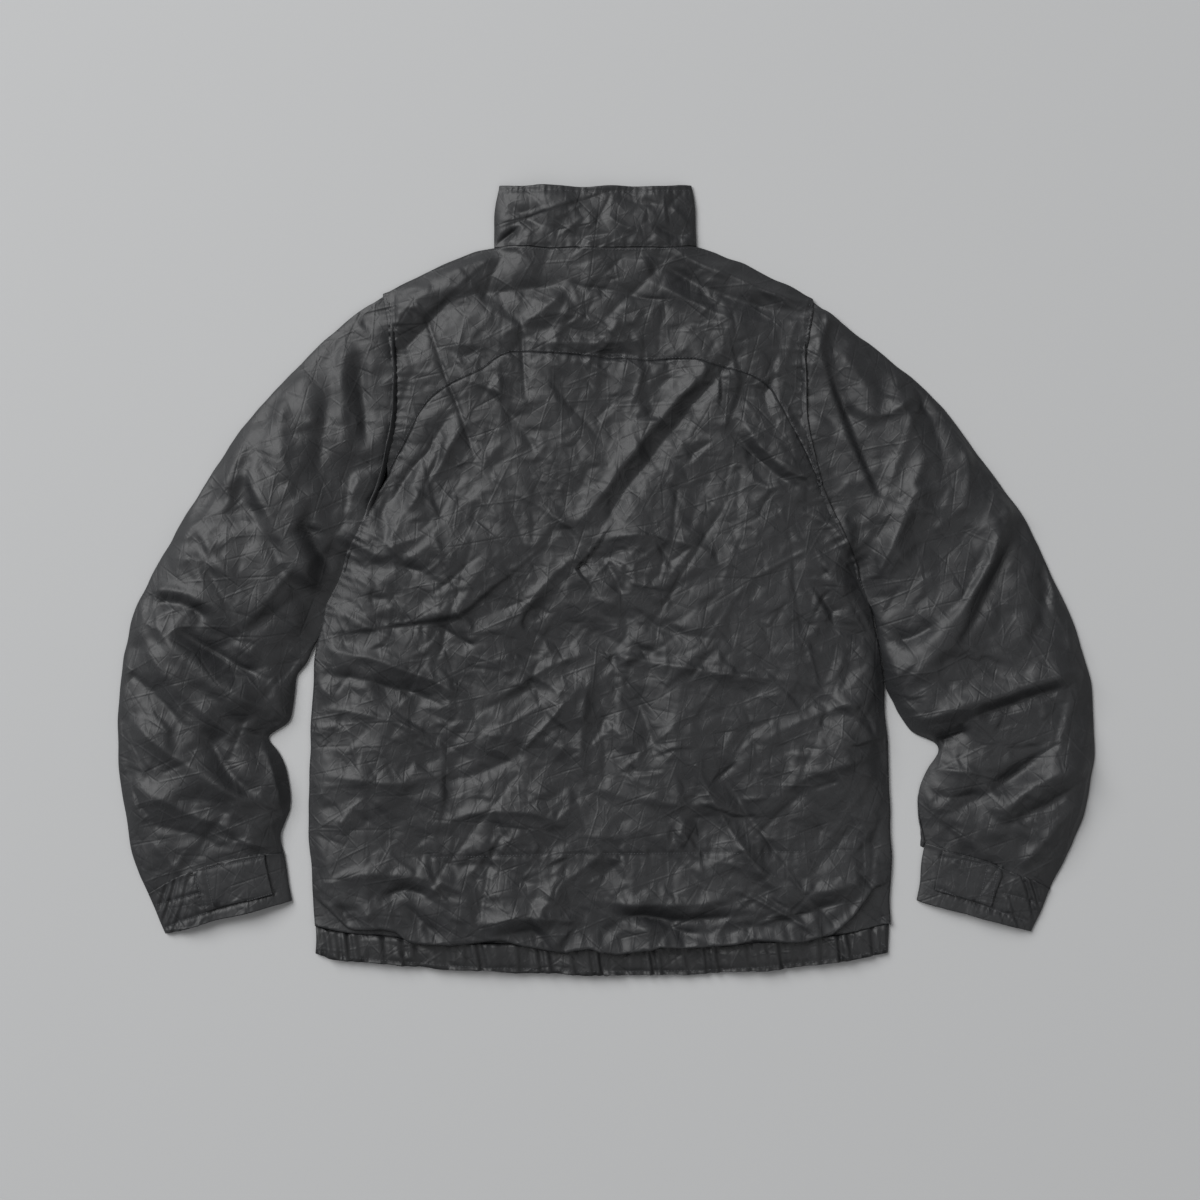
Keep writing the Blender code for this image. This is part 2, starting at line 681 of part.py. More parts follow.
def box_object(name, centre, size, bevel=0.0):
    bm = bmesh.new()
    bmesh.ops.create_cube(bm, size=1.0)
    bmesh.ops.scale(bm, vec=[s * MM for s in size], verts=bm.verts[:])
    if bevel:
        bmesh.ops.bevel(bm, geom=bm.edges[:], offset=bevel * MM, segments=2, profile=0.5, affect="EDGES")
    mesh = bpy.data.meshes.new(name)
    bm.to_mesh(mesh)
    bm.free()
    obj = add_object(name, mesh, "zip_metal")
    obj.location = [c * MM for c in centre]
    return obj


def unite(obj, *others):
    """Joins helpers to an object with Booleans, or cuts them out of it, and hides them."""
    for other in others:
        join = obj.modifiers.new(other.name, "BOOLEAN")
        join.operation = "DIFFERENCE" if other.name.startswith("cut_") else "UNION"
        join.object = other
        collection("windbreaker").objects.unlink(other)
        collection("windbreaker_cutters").objects.link(other)
        other.hide_render = True
        other.display_type = "WIRE"
    return obj


def pull_axis():
    """The hinge of the pull tab: under the slider's bridge."""
    x, y = slider_place()
    return x, y, slider_bottom() - (BRIDGE["height"] - BRIDGE["bar"]) / 2


def slider_middle():
    """The height of the chain's middle, which is the slider's."""
    return BAND + LAYER_GAP + TAPE - CHAIN / 2 + SLIDER_LIFT


def slider_bottom():
    return slider_middle() - SLIDER["height"] / 2


def slider():
    """The slider's body, cut out round the chain and the tape, with the bridge that holds the pull tab."""
    x, y = slider_place()
    bottom, mouth = slider_bottom(), SLIDER["length"] / 2 + 2 + SLIDER["stop"]
    cut_y = y + SLIDER["stop"] - mouth / 2
    tape_middle = tape_bottom() + SLIDER_LIFT + TAPE / 2
    eye_size = (BRIDGE["width"] + 2, BRIDGE["length"] - 2 * BRIDGE["bar"], BRIDGE["height"] - BRIDGE["bar"])
    body_size = (SLIDER["width"], SLIDER["length"], SLIDER["height"])
    throat_size = (CHAIN_WIDTH + THROAT_PLAY[0], mouth, CHAIN + THROAT_PLAY[1])
    slot_size = (SLIDER["width"] + 4, mouth, TAPE + SLOT_PLAY)
    body = box_object("slider", (x, y, slider_middle()), body_size, SLIDER["bevel"])
    throat = box_object("cut_throat", (x, cut_y, slider_middle()), throat_size)
    tape_slot = box_object("cut_tape_slot", (x, cut_y, tape_middle), slot_size)
    bridge = box_object(
        "bridge", (x, y, bottom - BRIDGE["height"] / 2 + SINK),
        (BRIDGE["width"], BRIDGE["length"], BRIDGE["height"] + 2 * SINK), BRIDGE["bevel"],
    )
    eye = box_object("cut_eye", (x, y, bottom - eye_size[2] / 2), eye_size)
    return unite(body, throat, tape_slot, bridge, eye)


def pull_tab():
    """The flat pull tab: a pin through the bridge, two arms beside it, and a plate towards the hem."""
    x, y, z = pull_axis()
    window, arm, thick = PULL_HOLD["window"], PULL_HOLD["arm"], PULL["thick"]
    drop = z - thick / 2 - PULL_HOLD["drop"]
    radius = PULL_HOLD["pin"] / 2 * MM
    bm = bmesh.new()
    pin = bmesh.ops.create_cone(
        bm, cap_ends=True, segments=12, radius1=radius, radius2=radius, depth=PULL["width"] * MM
    )
    quarter_turn = Matrix.Rotation(math.pi / 2, 3, "Y")
    bmesh.ops.rotate(bm, cent=(0, 0, 0), matrix=quarter_turn, verts=pin["verts"])
    mesh = bpy.data.meshes.new("pull_tab")
    bm.to_mesh(mesh)
    bm.free()
    tab = add_object("pull_tab", mesh, "zip_metal")
    tab.location = (x * MM, y * MM, z * MM)
    length = PULL["length"] - window
    plate_place = (x, y - window - length / 2, z - drop)
    plate = box_object("plate", plate_place, (PULL["width"], length, thick), PULL["bevel"])
    arms = []
    for name, sign in (("arm_left", -1), ("arm_right", 1)):
        place = (x + sign * (PULL["width"] - arm) / 2, y - window / 2, z - drop / 2)
        piece = box_object(name, place, (arm, math.hypot(window, drop) + 1.0, thick))
        piece.rotation_euler = (math.atan2(drop, window), 0, 0)
        arms.append(piece)
    return unite(tab, plate, *arms)


def main():
    clear_scene()
    back_yoke()
    back_panel()
    front("left")
    front("right")
    sleeve("left_sleeve", LEFT_SLEEVE)
    sleeve("right_sleeve", RIGHT_SLEEVE)
    for side in ("left", "right"):
        cuff(side)
        cuff_tab(side)
    hem_band()
    collar()
    zip_tape()
    slider()
    pull_tab()


main()
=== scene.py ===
import math

import bmesh
import bpy
import numpy as np
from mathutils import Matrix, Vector
from mathutils.bvhtree import BVHTree
from mathutils.geometry import delaunay_2d_cdt


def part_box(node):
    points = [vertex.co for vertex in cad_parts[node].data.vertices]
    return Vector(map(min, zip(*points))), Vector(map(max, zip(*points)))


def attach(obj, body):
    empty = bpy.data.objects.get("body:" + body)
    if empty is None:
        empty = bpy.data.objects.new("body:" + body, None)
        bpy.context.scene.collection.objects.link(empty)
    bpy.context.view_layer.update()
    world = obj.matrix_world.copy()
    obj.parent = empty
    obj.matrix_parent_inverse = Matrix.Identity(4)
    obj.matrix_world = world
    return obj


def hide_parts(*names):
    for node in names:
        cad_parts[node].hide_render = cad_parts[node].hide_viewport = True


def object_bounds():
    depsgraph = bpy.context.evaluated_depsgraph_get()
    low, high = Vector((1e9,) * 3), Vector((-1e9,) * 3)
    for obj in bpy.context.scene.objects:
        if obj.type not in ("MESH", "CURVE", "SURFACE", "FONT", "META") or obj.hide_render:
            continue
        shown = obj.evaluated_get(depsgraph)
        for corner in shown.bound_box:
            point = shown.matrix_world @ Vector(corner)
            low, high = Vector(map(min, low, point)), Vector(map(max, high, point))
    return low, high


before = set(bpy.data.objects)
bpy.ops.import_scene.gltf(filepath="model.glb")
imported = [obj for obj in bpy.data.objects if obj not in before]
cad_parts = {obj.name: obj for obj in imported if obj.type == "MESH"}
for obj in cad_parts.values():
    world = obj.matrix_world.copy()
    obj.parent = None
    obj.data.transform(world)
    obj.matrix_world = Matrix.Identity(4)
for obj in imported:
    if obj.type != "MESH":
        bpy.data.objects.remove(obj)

# Lengths in the settings are in millimetres, and mm turns them into metres.
mm = 0.001
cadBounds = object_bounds()
print("frame loaded")


# Camera, lights and floor

studio = {
    "viewCentre": (-6, -19.5),
    "viewWidth": 1200,
    "lens": 60,
    "sensor": 36,
    "floorSize": 9000,
    "floorColour": (0.43, 0.435, 0.44),
    "floorRoughness": 0.85,
    "keyPlace": (-5400, 4700, 6200),
    "keySize": 6500,
    "keyPower": 1180,
    "fillPlace": (2400, -1500, 3200),
    "fillSize": 3000,
    "fillPower": 24,
    "worldStrength": 0.24,
}


def addLight(name, place, size, power):
    light = bpy.data.lights.new(name, "AREA")
    light.shape = "SQUARE"
    light.size = size * mm
    light.energy = power
    holder = bpy.data.objects.new(name, light)
    bpy.context.scene.collection.objects.link(holder)
    holder.location = [value * mm for value in place]
    holder.rotation_euler = (-holder.location).to_track_quat("-Z", "Y").to_euler()


def setUpStudio():
    distance = studio["lens"] / studio["sensor"] * studio["viewWidth"]
    data = bpy.data.cameras.new("topCamera")
    data.lens = studio["lens"]
    data.sensor_width = studio["sensor"]
    camera = bpy.data.objects.new("topCamera", data)
    bpy.context.scene.collection.objects.link(camera)
    camera.location = [value * mm for value in (*studio["viewCentre"], distance)]
    bpy.context.scene.camera = camera
    addLight("keyLight", studio["keyPlace"], studio["keySize"], studio["keyPower"])
    addLight("fillLight", studio["fillPlace"], studio["fillSize"], studio["fillPower"])
    world = bpy.data.worlds.new("softRoom")
    world.use_nodes = True
    background = world.node_tree.nodes["Background"]
    background.inputs["Color"].default_value = (1, 1, 1, 1)
    background.inputs["Strength"].default_value = studio["worldStrength"]
    bpy.context.scene.world = world
    bpy.context.scene.view_settings.view_transform = "Standard"
    bpy.ops.object.select_all(action="DESELECT")
    bpy.ops.mesh.primitive_plane_add(size=studio["floorSize"] * mm, location=(0, 0, 0))
    floor = bpy.context.object
    floor.name = "floor"
    finish = bpy.data.materials.new("paleFloor")
    finish.use_nodes = True
    shader = finish.node_tree.nodes["Principled BSDF"]
    shader.inputs["Base Color"].default_value = (*studio["floorColour"], 1)
    shader.inputs["Roughness"].default_value = studio["floorRoughness"]
    floor.data.materials.append(finish)


# Shader maths: a Socket wraps an output, and its operators add Math nodes.


class Socket:
    def __init__(self, tree, out):
        self.tree = tree
        self.out = out

    def maths(self, operation, first, second=0.0):
        return self.tree.add("ShaderNodeMath", {"operation": operation}, {0: first, 1: second})

    def __add__(self, other):
        return self.maths("ADD", self, other)

    def __radd__(self, other):
        return self.maths("ADD", other, self)

    def __sub__(self, other):
        return self.maths("SUBTRACT", self, other)

    def __rsub__(self, other):
        return self.maths("SUBTRACT", other, self)

    def __mul__(self, other):
        return self.maths("MULTIPLY", self, other)

    def __rmul__(self, other):
        return self.maths("MULTIPLY", other, self)

    def between(self, low, high, first=0.0, last=1.0):
        values = {"Value": self, "From Min": low, "From Max": high, "To Min": first, "To Max": last}
        return self.tree.add("ShaderNodeMapRange", {}, values)


class Finish:
    def __init__(self, name, constants):
        self.material = bpy.data.materials.new(name)
        self.material.use_nodes = True
        self.nodes = self.material.node_tree.nodes
        self.links = self.material.node_tree.links
        self.shader = self.nodes["Principled BSDF"]
        for socket, value in constants.items():
            self.shader.inputs[socket].default_value = value

    def add(self, kind, settings=None, values=None, output=0):
        node = self.nodes.new(kind)
        for key, value in (settings or {}).items():
            if key == "stops":
                self.setStops(node.color_ramp, value)
            else:
                setattr(node, key, value)
        for key, value in (values or {}).items():
            self.feed(node.inputs[key], value)
        return Socket(self, node.outputs[output])

    def setStops(self, ramp, stops):
        while len(ramp.elements) < len(stops):
            ramp.elements.new(0.5)
        for element, (place, colour) in zip(ramp.elements, stops):
            element.position = place
            element.color = colour

    def feed(self, target, value):
        if isinstance(value, Socket):
            self.links.new(value.out, target)
        else:
            target.default_value = value

    def output(self, socket, value):
        self.feed(self.shader.inputs[socket], value)


def place(finish, stretch=(1, 1, 1), turn=(0, 0, 0)):
    coords = finish.add("ShaderNodeTexCoord", output="Object")
    return finish.add("ShaderNodeMapping", {}, {"Vector": coords, "Scale": stretch, "Rotation": turn})


nylon = {
    "colour": (0.0084, 0.0090, 0.0104, 1),
    # the lighter colour: worn patches, and also the painted highlight along crease ridges
    "wornAndRidgeHighlight": (0.0182, 0.0190, 0.0208, 1),
    "roughness": 0.55,
    "shine": 0.5,
    "patches": 9.0,  # noise scales of the worn patches, of the grain and of the crinkle
    "grain": 420.0,
    "crinkle": 62.0,
    "threadSize": 0.55,
    "crinkleHeight": 0.12,
    "grainHeight": 0.03,
    "threadHeight": 0.012,
    "fade": (0.36, 0.64),  # from the first noise value to the second, a groove turns into a ridge
    # Creases too fine for the mesh: how long and how wide the flats between them are, which way the flats
    # lie, in degrees, and how wide and how high a crease is
    "fineCreases": (
        (74, 25, 17, 1.6, 0.26),
        (58, 20, 78, 1.4, 0.23),
        (66, 22, 139, 1.5, 0.25),
        (24, 11, 48, 1.0, 0.12),
        (19, 9, 108, 0.9, 0.10),
    ),
}


def fineCrease(finish, row):
    # A net of straight creases. A slow noise turns each one from a ridge to a groove and fades it out.
    length, width, turn, reach, height = row
    coords = finish.add("ShaderNodeTexCoord", output="Object")
    where = finish.add(
        "ShaderNodeMapping", {"vector_type": "TEXTURE"},
        {"Vector": coords, "Rotation": (0, 0, math.radians(turn)), "Scale": (length * mm, width * mm, 1)},
    )
    flats = {"feature": "DISTANCE_TO_EDGE", "voronoi_dimensions": "2D"}
    gap = finish.add("ShaderNodeTexVoronoi", flats, {"Vector": where, "Scale": 1.0})
    slow = {"Vector": where, "Scale": 0.9, "Detail": 1.0}
    fade = finish.add("ShaderNodeTexNoise", {"noise_dimensions": "2D"}, slow)
    return gap.between(0.0, reach / width, height, 0.0) * fade.between(*nylon["fade"], -1.0, 1.0)


def nylonFinish(name, brightness=1.0):
    finish = Finish(name, {"Specular IOR Level": nylon["shine"]})
    where = place(finish)
    patches, grain = (
        finish.add("ShaderNodeTexNoise", {}, {"Vector": where, "Scale": nylon[name], "Detail": detail})
        for name, detail in (("patches", 4.0), ("grain", 2.0))
    )
    crinkle = finish.add(
        "ShaderNodeTexNoise", {"noise_type": "RIDGED_MULTIFRACTAL"},
        {"Vector": where, "Scale": nylon["crinkle"], "Detail": 3.0, "Distortion": 0.5},
    )
    perTurn = 2 * math.pi * nylon["threadSize"] * mm
    warp, weft = (
        finish.add("ShaderNodeTexWave", {"bands_direction": way}, {"Vector": where, "Scale": 1 / perTurn})
        for way in "XY"
    )
    height = crinkle * nylon["crinkleHeight"] + grain * nylon["grainHeight"]
    height = height + warp * nylon["threadHeight"] + weft * nylon["threadHeight"]
    # Painted light and shade: the fine crease heights also go into the colour below, so crease ridges are
    # painted lighter as highlights and crease grooves painted darker as shade.
    edges = 0.0
    for row in nylon["fineCreases"]:
        crease = fineCrease(finish, row)
        height = height + crease
        edges = edges + crease
    # Both colours are scaled by this factor; on the hem band its lower value is painted shade.
    base = [value * brightness for value in nylon["colour"][:3]] + [1]
    wornAndRidgeHighlight = [value * brightness for value in nylon["wornAndRidgeHighlight"][:3]] + [1]
    # Colour from the worn patches and the grain, and from the crease heights as painted highlight on ridges
    # and painted shade in grooves.
    amount = patches * 0.7 + grain * 0.3 + edges * 0.5
    stops = {"stops": [(0.30, base), (0.85, wornAndRidgeHighlight)]}
    finish.output("Base Color", finish.add("ShaderNodeValToRGB", stops, {"Fac": amount}))
    finish.output("Roughness", patches * 0.12 + grain * 0.06 + (nylon["roughness"] - 0.08))
    bump = {"Height": height, "Strength": 1.0, "Distance": mm}
    finish.output("Normal", finish.add("ShaderNodeBump", {}, bump))
    return finish.material


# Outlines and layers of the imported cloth

skinSettings = {
    "sharpEdge": math.radians(62),  # a rim or the folded side of a tube ends a layer
    "facing": 0.7,  # a layer may grow from a face that looks up or down at least this much
    "seedReach": 30,
    "weld": 0.002 * mm,
    "shortest": 0.01 * mm,  # shorter edges are dissolved
    "joinAngle": math.radians(60),
    "corner": math.radians(28),  # an outline bends by more than this only at a real corner
    "roundPasses": 6,
}


def weldedMesh(node):
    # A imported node's mesh is loose triangles: this joins them.
    bm = bmesh.new()
    bm.from_mesh(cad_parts[node].data)
    bmesh.ops.remove_doubles(bm, verts=bm.verts[:], dist=skinSettings["weld"])
    bmesh.ops.dissolve_degenerate(bm, dist=skinSettings["shortest"], edges=bm.edges[:])
    return bm


def pointsOf(node):
    return np.array([vert.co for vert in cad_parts[node].data.vertices])


def layerOf(node, up, seedPoint=None):
    # One layer of a node's wall. It grows from the outermost face that looks up or down, or from the
    # outermost one near seedPoint.
    bm = weldedMesh(node)
    facing = [face for face in bm.faces if face.normal.z * up > skinSettings["facing"]]
    if seedPoint:
        near, reach = Vector(seedPoint) * mm, skinSettings["seedReach"] * mm
        facing = [face for face in facing if (face.calc_center_median().xy - near).length < reach]
    seed = max(facing, key=lambda face: face.calc_center_median().z * up)
    kept, waiting = {seed}, [seed]
    while waiting:
        face = waiting.pop()
        for edge in face.edges:
            for other in edge.link_faces:
                if other not in kept and other.normal.angle(face.normal) < skinSettings["sharpEdge"]:
                    kept.add(other)
                    waiting.append(other)
    bmesh.ops.delete(bm, geom=[face for face in bm.faces if face not in kept], context="FACES")
    bm.verts.index_update()
    return bm


def skinOf(node, seeds):
    # The layers that grow from several seeds, kept together as one skin.
    kept = set()
    for up, seedPoint in seeds:
        bm = layerOf(node, up, seedPoint)
        kept |= {middleOf(face) for face in bm.faces}
        bm.free()
    bm = weldedMesh(node)
    bmesh.ops.delete(bm, geom=[face for face in bm.faces if middleOf(face) not in kept], context="FACES")
    return bm


def middleOf(face):
    return tuple(round(value, 7) for value in face.calc_center_median())


def outlineOf(bm):
    # The outline of a layer as points in order, anticlockwise from above.
    follows = {}
    for edge in bm.edges:
        if len(edge.link_loops) == 1:
            loop = edge.link_loops[0]
            follows[loop.vert] = loop.link_loop_next.vert
    start = next(iter(follows))
    order, here = [start], follows[start]
    while here != start:
        order.append(here)
        here = follows[here]
    points = np.array([vert.co for vert in order])
    area = np.sum(points[:, 0] * np.roll(points[:, 1], -1) - points[:, 1] * np.roll(points[:, 0], -1))
    return points if area > 0 else points[::-1]


def evenOutline(points, spacing):
    # The outline with points at an even spacing. Its shallow bends are rounded and its corners stay.
    ahead = np.roll(points, -1, 0) - points
    behind = points - np.roll(points, 1, 0)
    turn = np.arctan2(ahead[:, 1], ahead[:, 0]) - np.arctan2(behind[:, 1], behind[:, 0])
    turn = np.abs((turn + math.pi) % (2 * math.pi) - math.pi)
    result, fixed = [], []
    for i, point in enumerate(points):
        after = points[(i + 1) % len(points)]
        count = max(1, round(np.linalg.norm(after[:2] - point[:2]) / spacing))
        for k in range(count):
            result.append(point + (after - point) * k / count)
            fixed.append(k == 0 and turn[i] > skinSettings["corner"])
    result, fixed = np.array(result), np.array(fixed)
    for _ in range(skinSettings["roundPasses"]):
        blurred = 0.5 * result + 0.25 * (np.roll(result, 1, 0) + np.roll(result, -1, 0))
        result = np.where(fixed[:, None], result, blurred)
    return result


def distanceTo(points, line):
    # For each point: its distance from a line of points, its place along it, and the side that it is on.
    best = np.full(len(points), 1e9)
    along = np.zeros(len(points))
    side = np.ones(len(points))
    done = 0.0
    for a, b in zip(line[:-1], line[1:]):
        step = b[:2] - a[:2]
        length = np.linalg.norm(step)
        if length < 1e-9:
            continue
        away = points[:, :2] - a[:2]
        share = np.clip(away @ step / length**2, 0, 1)
        gap = np.linalg.norm(away - share[:, None] * step, axis=1)
        nearer = gap < best
        best = np.where(nearer, gap, best)
        along = np.where(nearer, done + share * length, along)
        side = np.where(nearer, np.sign(step[0] * away[:, 1] - step[1] * away[:, 0]), side)
        done += length
    return best, along, side


def seamBetween(outline, others, reach=2.2 * mm):
    # The stretch of an outline that lies next to the points of another piece.
    gaps = np.array([np.min(np.linalg.norm(others[:, :2] - point[:2], axis=1)) for point in outline])
    near = gaps < reach
    start = next(i for i in range(len(near)) if near[i] and not near[i - 1])
    turned, flags = np.roll(outline, -start, 0), np.roll(near, -start)
    last = max(i for i in range(len(flags)) if flags[i])
    return turned[: last + 1]


# Folds and creases

# A row for each fold: where it starts, bends and ends, how far it reaches to the left and to the right of
# that way, and how high it rises. A small reach is a steep side.
foldColumns = ("start", "bend", "end", "left", "right", "rise")
backFolds = (
    ((143, 237), (66, 150), (-17, 39), 9, 11, -5.5),
    ((128, 240), (46, 150), (-32, 46), 7, 12, 4.5),
    ((121, 158), (151, 120), (196, 88), 10, 8, -5),
    ((130, 172), (163, 122), (204, 100), 8, 8, 3.5),
    ((-147, 176), (-178, 130), (-226, 64), 10, 9, -5.5),
    ((-136, 170), (-166, 112), (-212, 52), 7, 14, 4),
    ((-149, 289), (-188, 244), (-218, 219), 12, 12, -7),
    ((-176, 300), (-140, 314), (-106, 326), 8, 9, 4.5),
    ((-172, 272), (-100, 288), (-18, 290), 9, 16, -4.5),
    ((-30, 305), (-70, 262), (-120, 240), 8, 10, 2.5),
    ((54, 330), (120, 303), (204, 268), 7, 7, 4),
    ((44, 325), (100, 290), (190, 262), 10, 13, -6),
    ((40, 299), (84, 276), (140, 250), 6, 9, 3.5),
    ((-112, 238), (-20, 236), (62, 240), 5, 6, 1.8),
    ((-90, 220), (10, 224), (96, 210), 5, 5, -1.6),
    ((-140, 200), (-90, 160), (-60, 100), 7, 9, -2.6),
    ((-16, 36), (-60, 70), (-104, 92), 5, 9, 2.6),
    ((-16, 34), (-64, -8), (-96, -62), 6, 8, 2.8),
    ((-14, 34), (14, -10), (22, -64), 6, 9, -3),
    ((-12, 38), (50, 44), (112, 22), 5, 8, 2.4),
    ((-6, -70), (90, -88), (194, -100), 4, 8, 3.2),
    ((-6, -70), (-56, -86), (-118, -124), 5, 8, 2.6),
    ((-4, -68), (30, -120), (52, -182), 6, 8, -3),
    ((-6, -72), (-24, -140), (-18, -214), 7, 7, 2.2),
    ((24, -20), (60, -50), (128, -58), 6, 6, -2.2),
    ((84, -168), (124, -250), (186, -322), 8, 10, 4.5),
    ((104, -164), (146, -240), (196, -296), 8, 7, -3.5),
    ((-288, -66), (-206, -86), (-124, -122), 6, 8, 3.2),
    ((-290, -92), (-214, -106), (-146, -132), 6, 7, -3),
    ((-286, -128), (-232, -134), (-168, -156), 5, 8, 2.6),
    ((-284, -24), (-238, -44), (-196, -66), 5, 9, 2.4),
    ((-284, -190), (-220, -200), (-150, -190), 7, 8, 2.2),
    ((-250, 10), (-200, 14), (-150, -16), 6, 8, -2.6),
    ((276, -118), (210, -132), (150, -164), 6, 8, 3),
    ((276, -64), (222, -46), (176, -48), 6, 8, -2.6),
    ((270, -180), (220, -186), (160, -220), 6, 9, 2.4),
    ((250, 20), (214, 60), (186, 66), 6, 9, 3),
    ((-60, -150), (-120, -190), (-190, -200), 6, 8, -2.2),
    ((-40, -240), (-110, -228), (-170, -248), 6, 8, 2.4),
    ((30, -210), (76, -222), (120, -216), 6, 8, 2),
    ((6, -330), (76, -338), (147, -330), 7, 7, -5),
    ((-20, -316), (60, -322), (140, -312), 9, 12, 4),
    ((-226, -318), (-200, -308), (-171, -318), 7, 7, -4.5),
    ((-280, -296), (-200, -292), (-120, -312), 9, 14, 3.5),
    ((-204, -320), (-180, -340), (-155, -362), 6, 7, -3.5),
    ((-130, -340), (-70, -334), (-10, -342), 8, 8, 3),
    ((160, -300), (210, -308), (262, -296), 8, 10, 3),
    ((150, -344), (196, -332), (240, -318), 7, 7, -3.5),
)
leftSleeveFolds = (
    ((-362, 112), (-318, 42), (-282, -22), 14, 5, 7),
    ((-372, 96), (-330, 32), (-296, -34), 10, 8, -3.5),
    ((-463, -10), (-410, -14), (-386, -34), 5, 8, 4.5),
    ((-450, -22), (-414, -26), (-396, -40), 6, 5, -4.5),
    ((-424, -46), (-392, -70), (-331, -102), 6, 7, -5),
    ((-449, -26), (-414, -80), (-333, -130), 9, 11, 6.5),
    ((-468, -30), (-434, -92), (-349, -171), 8, 10, 4.5),
    ((-486, -122), (-428, -172), (-341, -225), 9, 9, 5.5),
    ((-398, -144), (-376, -188), (-345, -214), 7, 8, -5),
    ((-478, -196), (-430, -222), (-360, -252), 8, 9, 3.5),
    ((-470, -240), (-420, -250), (-372, -268), 6, 8, -2.6),
    ((-247, 236), (-242, 180), (-237, 128), 6, 7, -4.5),
    ((-262, 232), (-262, 180), (-254, 120), 7, 7, 3.5),
    ((-277, 194), (-281, 146), (-289, 100), 6, 7, -3.6),
    ((-318, 190), (-322, 140), (-312, 90), 7, 9, 3),
    ((-350, 160), (-380, 90), (-420, 40), 8, 9, 2.6),
    ((-412, 66), (-392, 10), (-360, -40), 8, 8, -3.2),
    ((-436, 24), (-404, 20), (-360, 4), 6, 8, 2.6),
    ((-300, 66), (-286, 30), (-272, 14), 6, 6, -4.5),
    ((-484, -90), (-450, -110), (-420, -146), 7, 8, -3.6),
    ((-340, -150), (-330, -190), (-322, -236), 6, 6, 2.8),
)
rightSleeveFolds = (
    ((406, 84), (362, -14), (293, -112), 9, 11, 8),
    ((384, 44), (356, -12), (322, -52), 8, 8, -5.5),
    ((410, 54), (372, -24), (344, -68), 7, 8, -5.5),
    ((316, 132), (290, 50), (257, -10), 9, 9, 6),
    ((282, -62), (304, -56), (330, -42), 9, 9, -6.5),
    ((482, -86), (400, -110), (306, -140), 9, 9, 6.5),
    ((468, -100), (416, -118), (350, -140), 7, 9, -5.5),
    ((328, -163), (344, -156), (362, -146), 6, 6, -5.5),
    ((452, -158), (396, -202), (327, -238), 8, 8, -4.5),
    ((484, -184), (428, -200), (388, -238), 8, 7, 5.5),
    ((476, -194), (430, -226), (388, -246), 7, 7, -4.5),
    ((470, -224), (440, -250), (410, -290), 7, 8, 3.4),
    ((209, 266), (222, 190), (268, 76), 6, 6, 4.5),
    ((221, 220), (242, 160), (275, 74), 6, 7, -5),
    ((228, 230), (254, 198), (272, 172), 8, 9, 3),
    ((308, 190), (282, 166), (246, 170), 5, 6, 3.2),
    ((300, 204), (330, 140), (330, 90), 7, 9, -3),
    ((350, 160), (360, 110), (350, 70), 7, 8, 2.8),
    ((430, 40), (440, -10), (420, -60), 8, 9, -3),
    ((455, 0), (466, -40), (456, -84), 7, 8, 2.8),
    ((322, -170), (340, -186), (372, -190), 6, 7, 3),
    ((316, -206), (346, -216), (380, -204), 6, 7, -2.8),
)
collarFolds = (
    ((-116, 333), (-102, 341), (-84, 352), 4, 7, -6),
    ((-1, 364), (18, 351), (36, 344), 4, 5, 2.2),
    ((45, 354), (72, 344), (86, 351), 4, 5, -2.4),
    ((65, 372), (74, 364), (84, 356), 4, 5, 2.4),
    ((-26, 381), (-44, 372), (-66, 364), 6, 7, 2.2),
    ((-100, 380), (-82, 362), (-60, 350), 5, 6, -1.8),
    ((10, 386), (30, 376), (58, 372), 5, 6, -1.6),
)

bodyFolds = backFolds + leftSleeveFolds + rightSleeveFolds

crumple = {
    "seed": 11,
    "edgeHeight": 3.0,  # the cloth lies still where it is this low, along its edges
    "fullHeight": 13.0,
    # the size of the flats, and how far their corners stand up
    "facets": ((90, 3.6), (44, 3.1), (22, 2.1), (11, 0.95)),
    "scatter": 1.3,  # a corner lies anywhere in a square of this many flats about its place in the grid
    # how many creases, their shortest and longest, their reach and rise
    "creases": ((170, 70, 200, 4.6, 2.8), (1000, 26, 80, 2.8, 1.5), (4200, 9, 30, 1.9, 0.55)),
    "foldStrength": 1.45,
    "foldSide": 1.35,  # the power by which the side of a fold falls away
    "foldEnd": 4,  # a fold fades out over one part in this many of its length
    "creaseEnd": 2.5,  # and a crease over one part in this many of its half length
    "lowest": 2.3,
    "ceiling": (24.0, 9.0),  # above the first height the cloth rises less and less, by this much at most
    "wobble": ((97, 61, 0.45), (53, 83, 0.35), (31, 37, 0.16)),  # wavelengths and sideways shift
}


def foldRise(points, rows):
    # The height that rows of folds add at each point, in millimetres.
    total = np.zeros(len(points))
    for row in rows:
        fold = dict(zip(foldColumns, row))
        line = curved(np.array([fold["start"], fold["bend"], fold["end"]]) * mm)
        gap, along, side = distanceTo(points, line)
        length = np.sum(np.linalg.norm(np.diff(line, axis=0), axis=1))
        share = along / length
        taper = np.minimum(1, share * crumple["foldEnd"]) * np.minimum(1, (1 - share) * crumple["foldEnd"])
        reach = np.where(side > 0, fold["left"], fold["right"]) * mm
        total += fold["rise"] * taper * np.exp(-((gap / reach) ** crumple["foldSide"]))
    return total


def curved(line, steps=6):
    # A smooth line through a start, a bend and an end.
    start, bend, end = line
    middle = 2 * bend - (start + end) / 2
    shares = np.linspace(0, 1, steps + 1)
    return np.array([start * (1 - t) ** 2 + middle * 2 * t * (1 - t) + end * t**2 for t in shares])


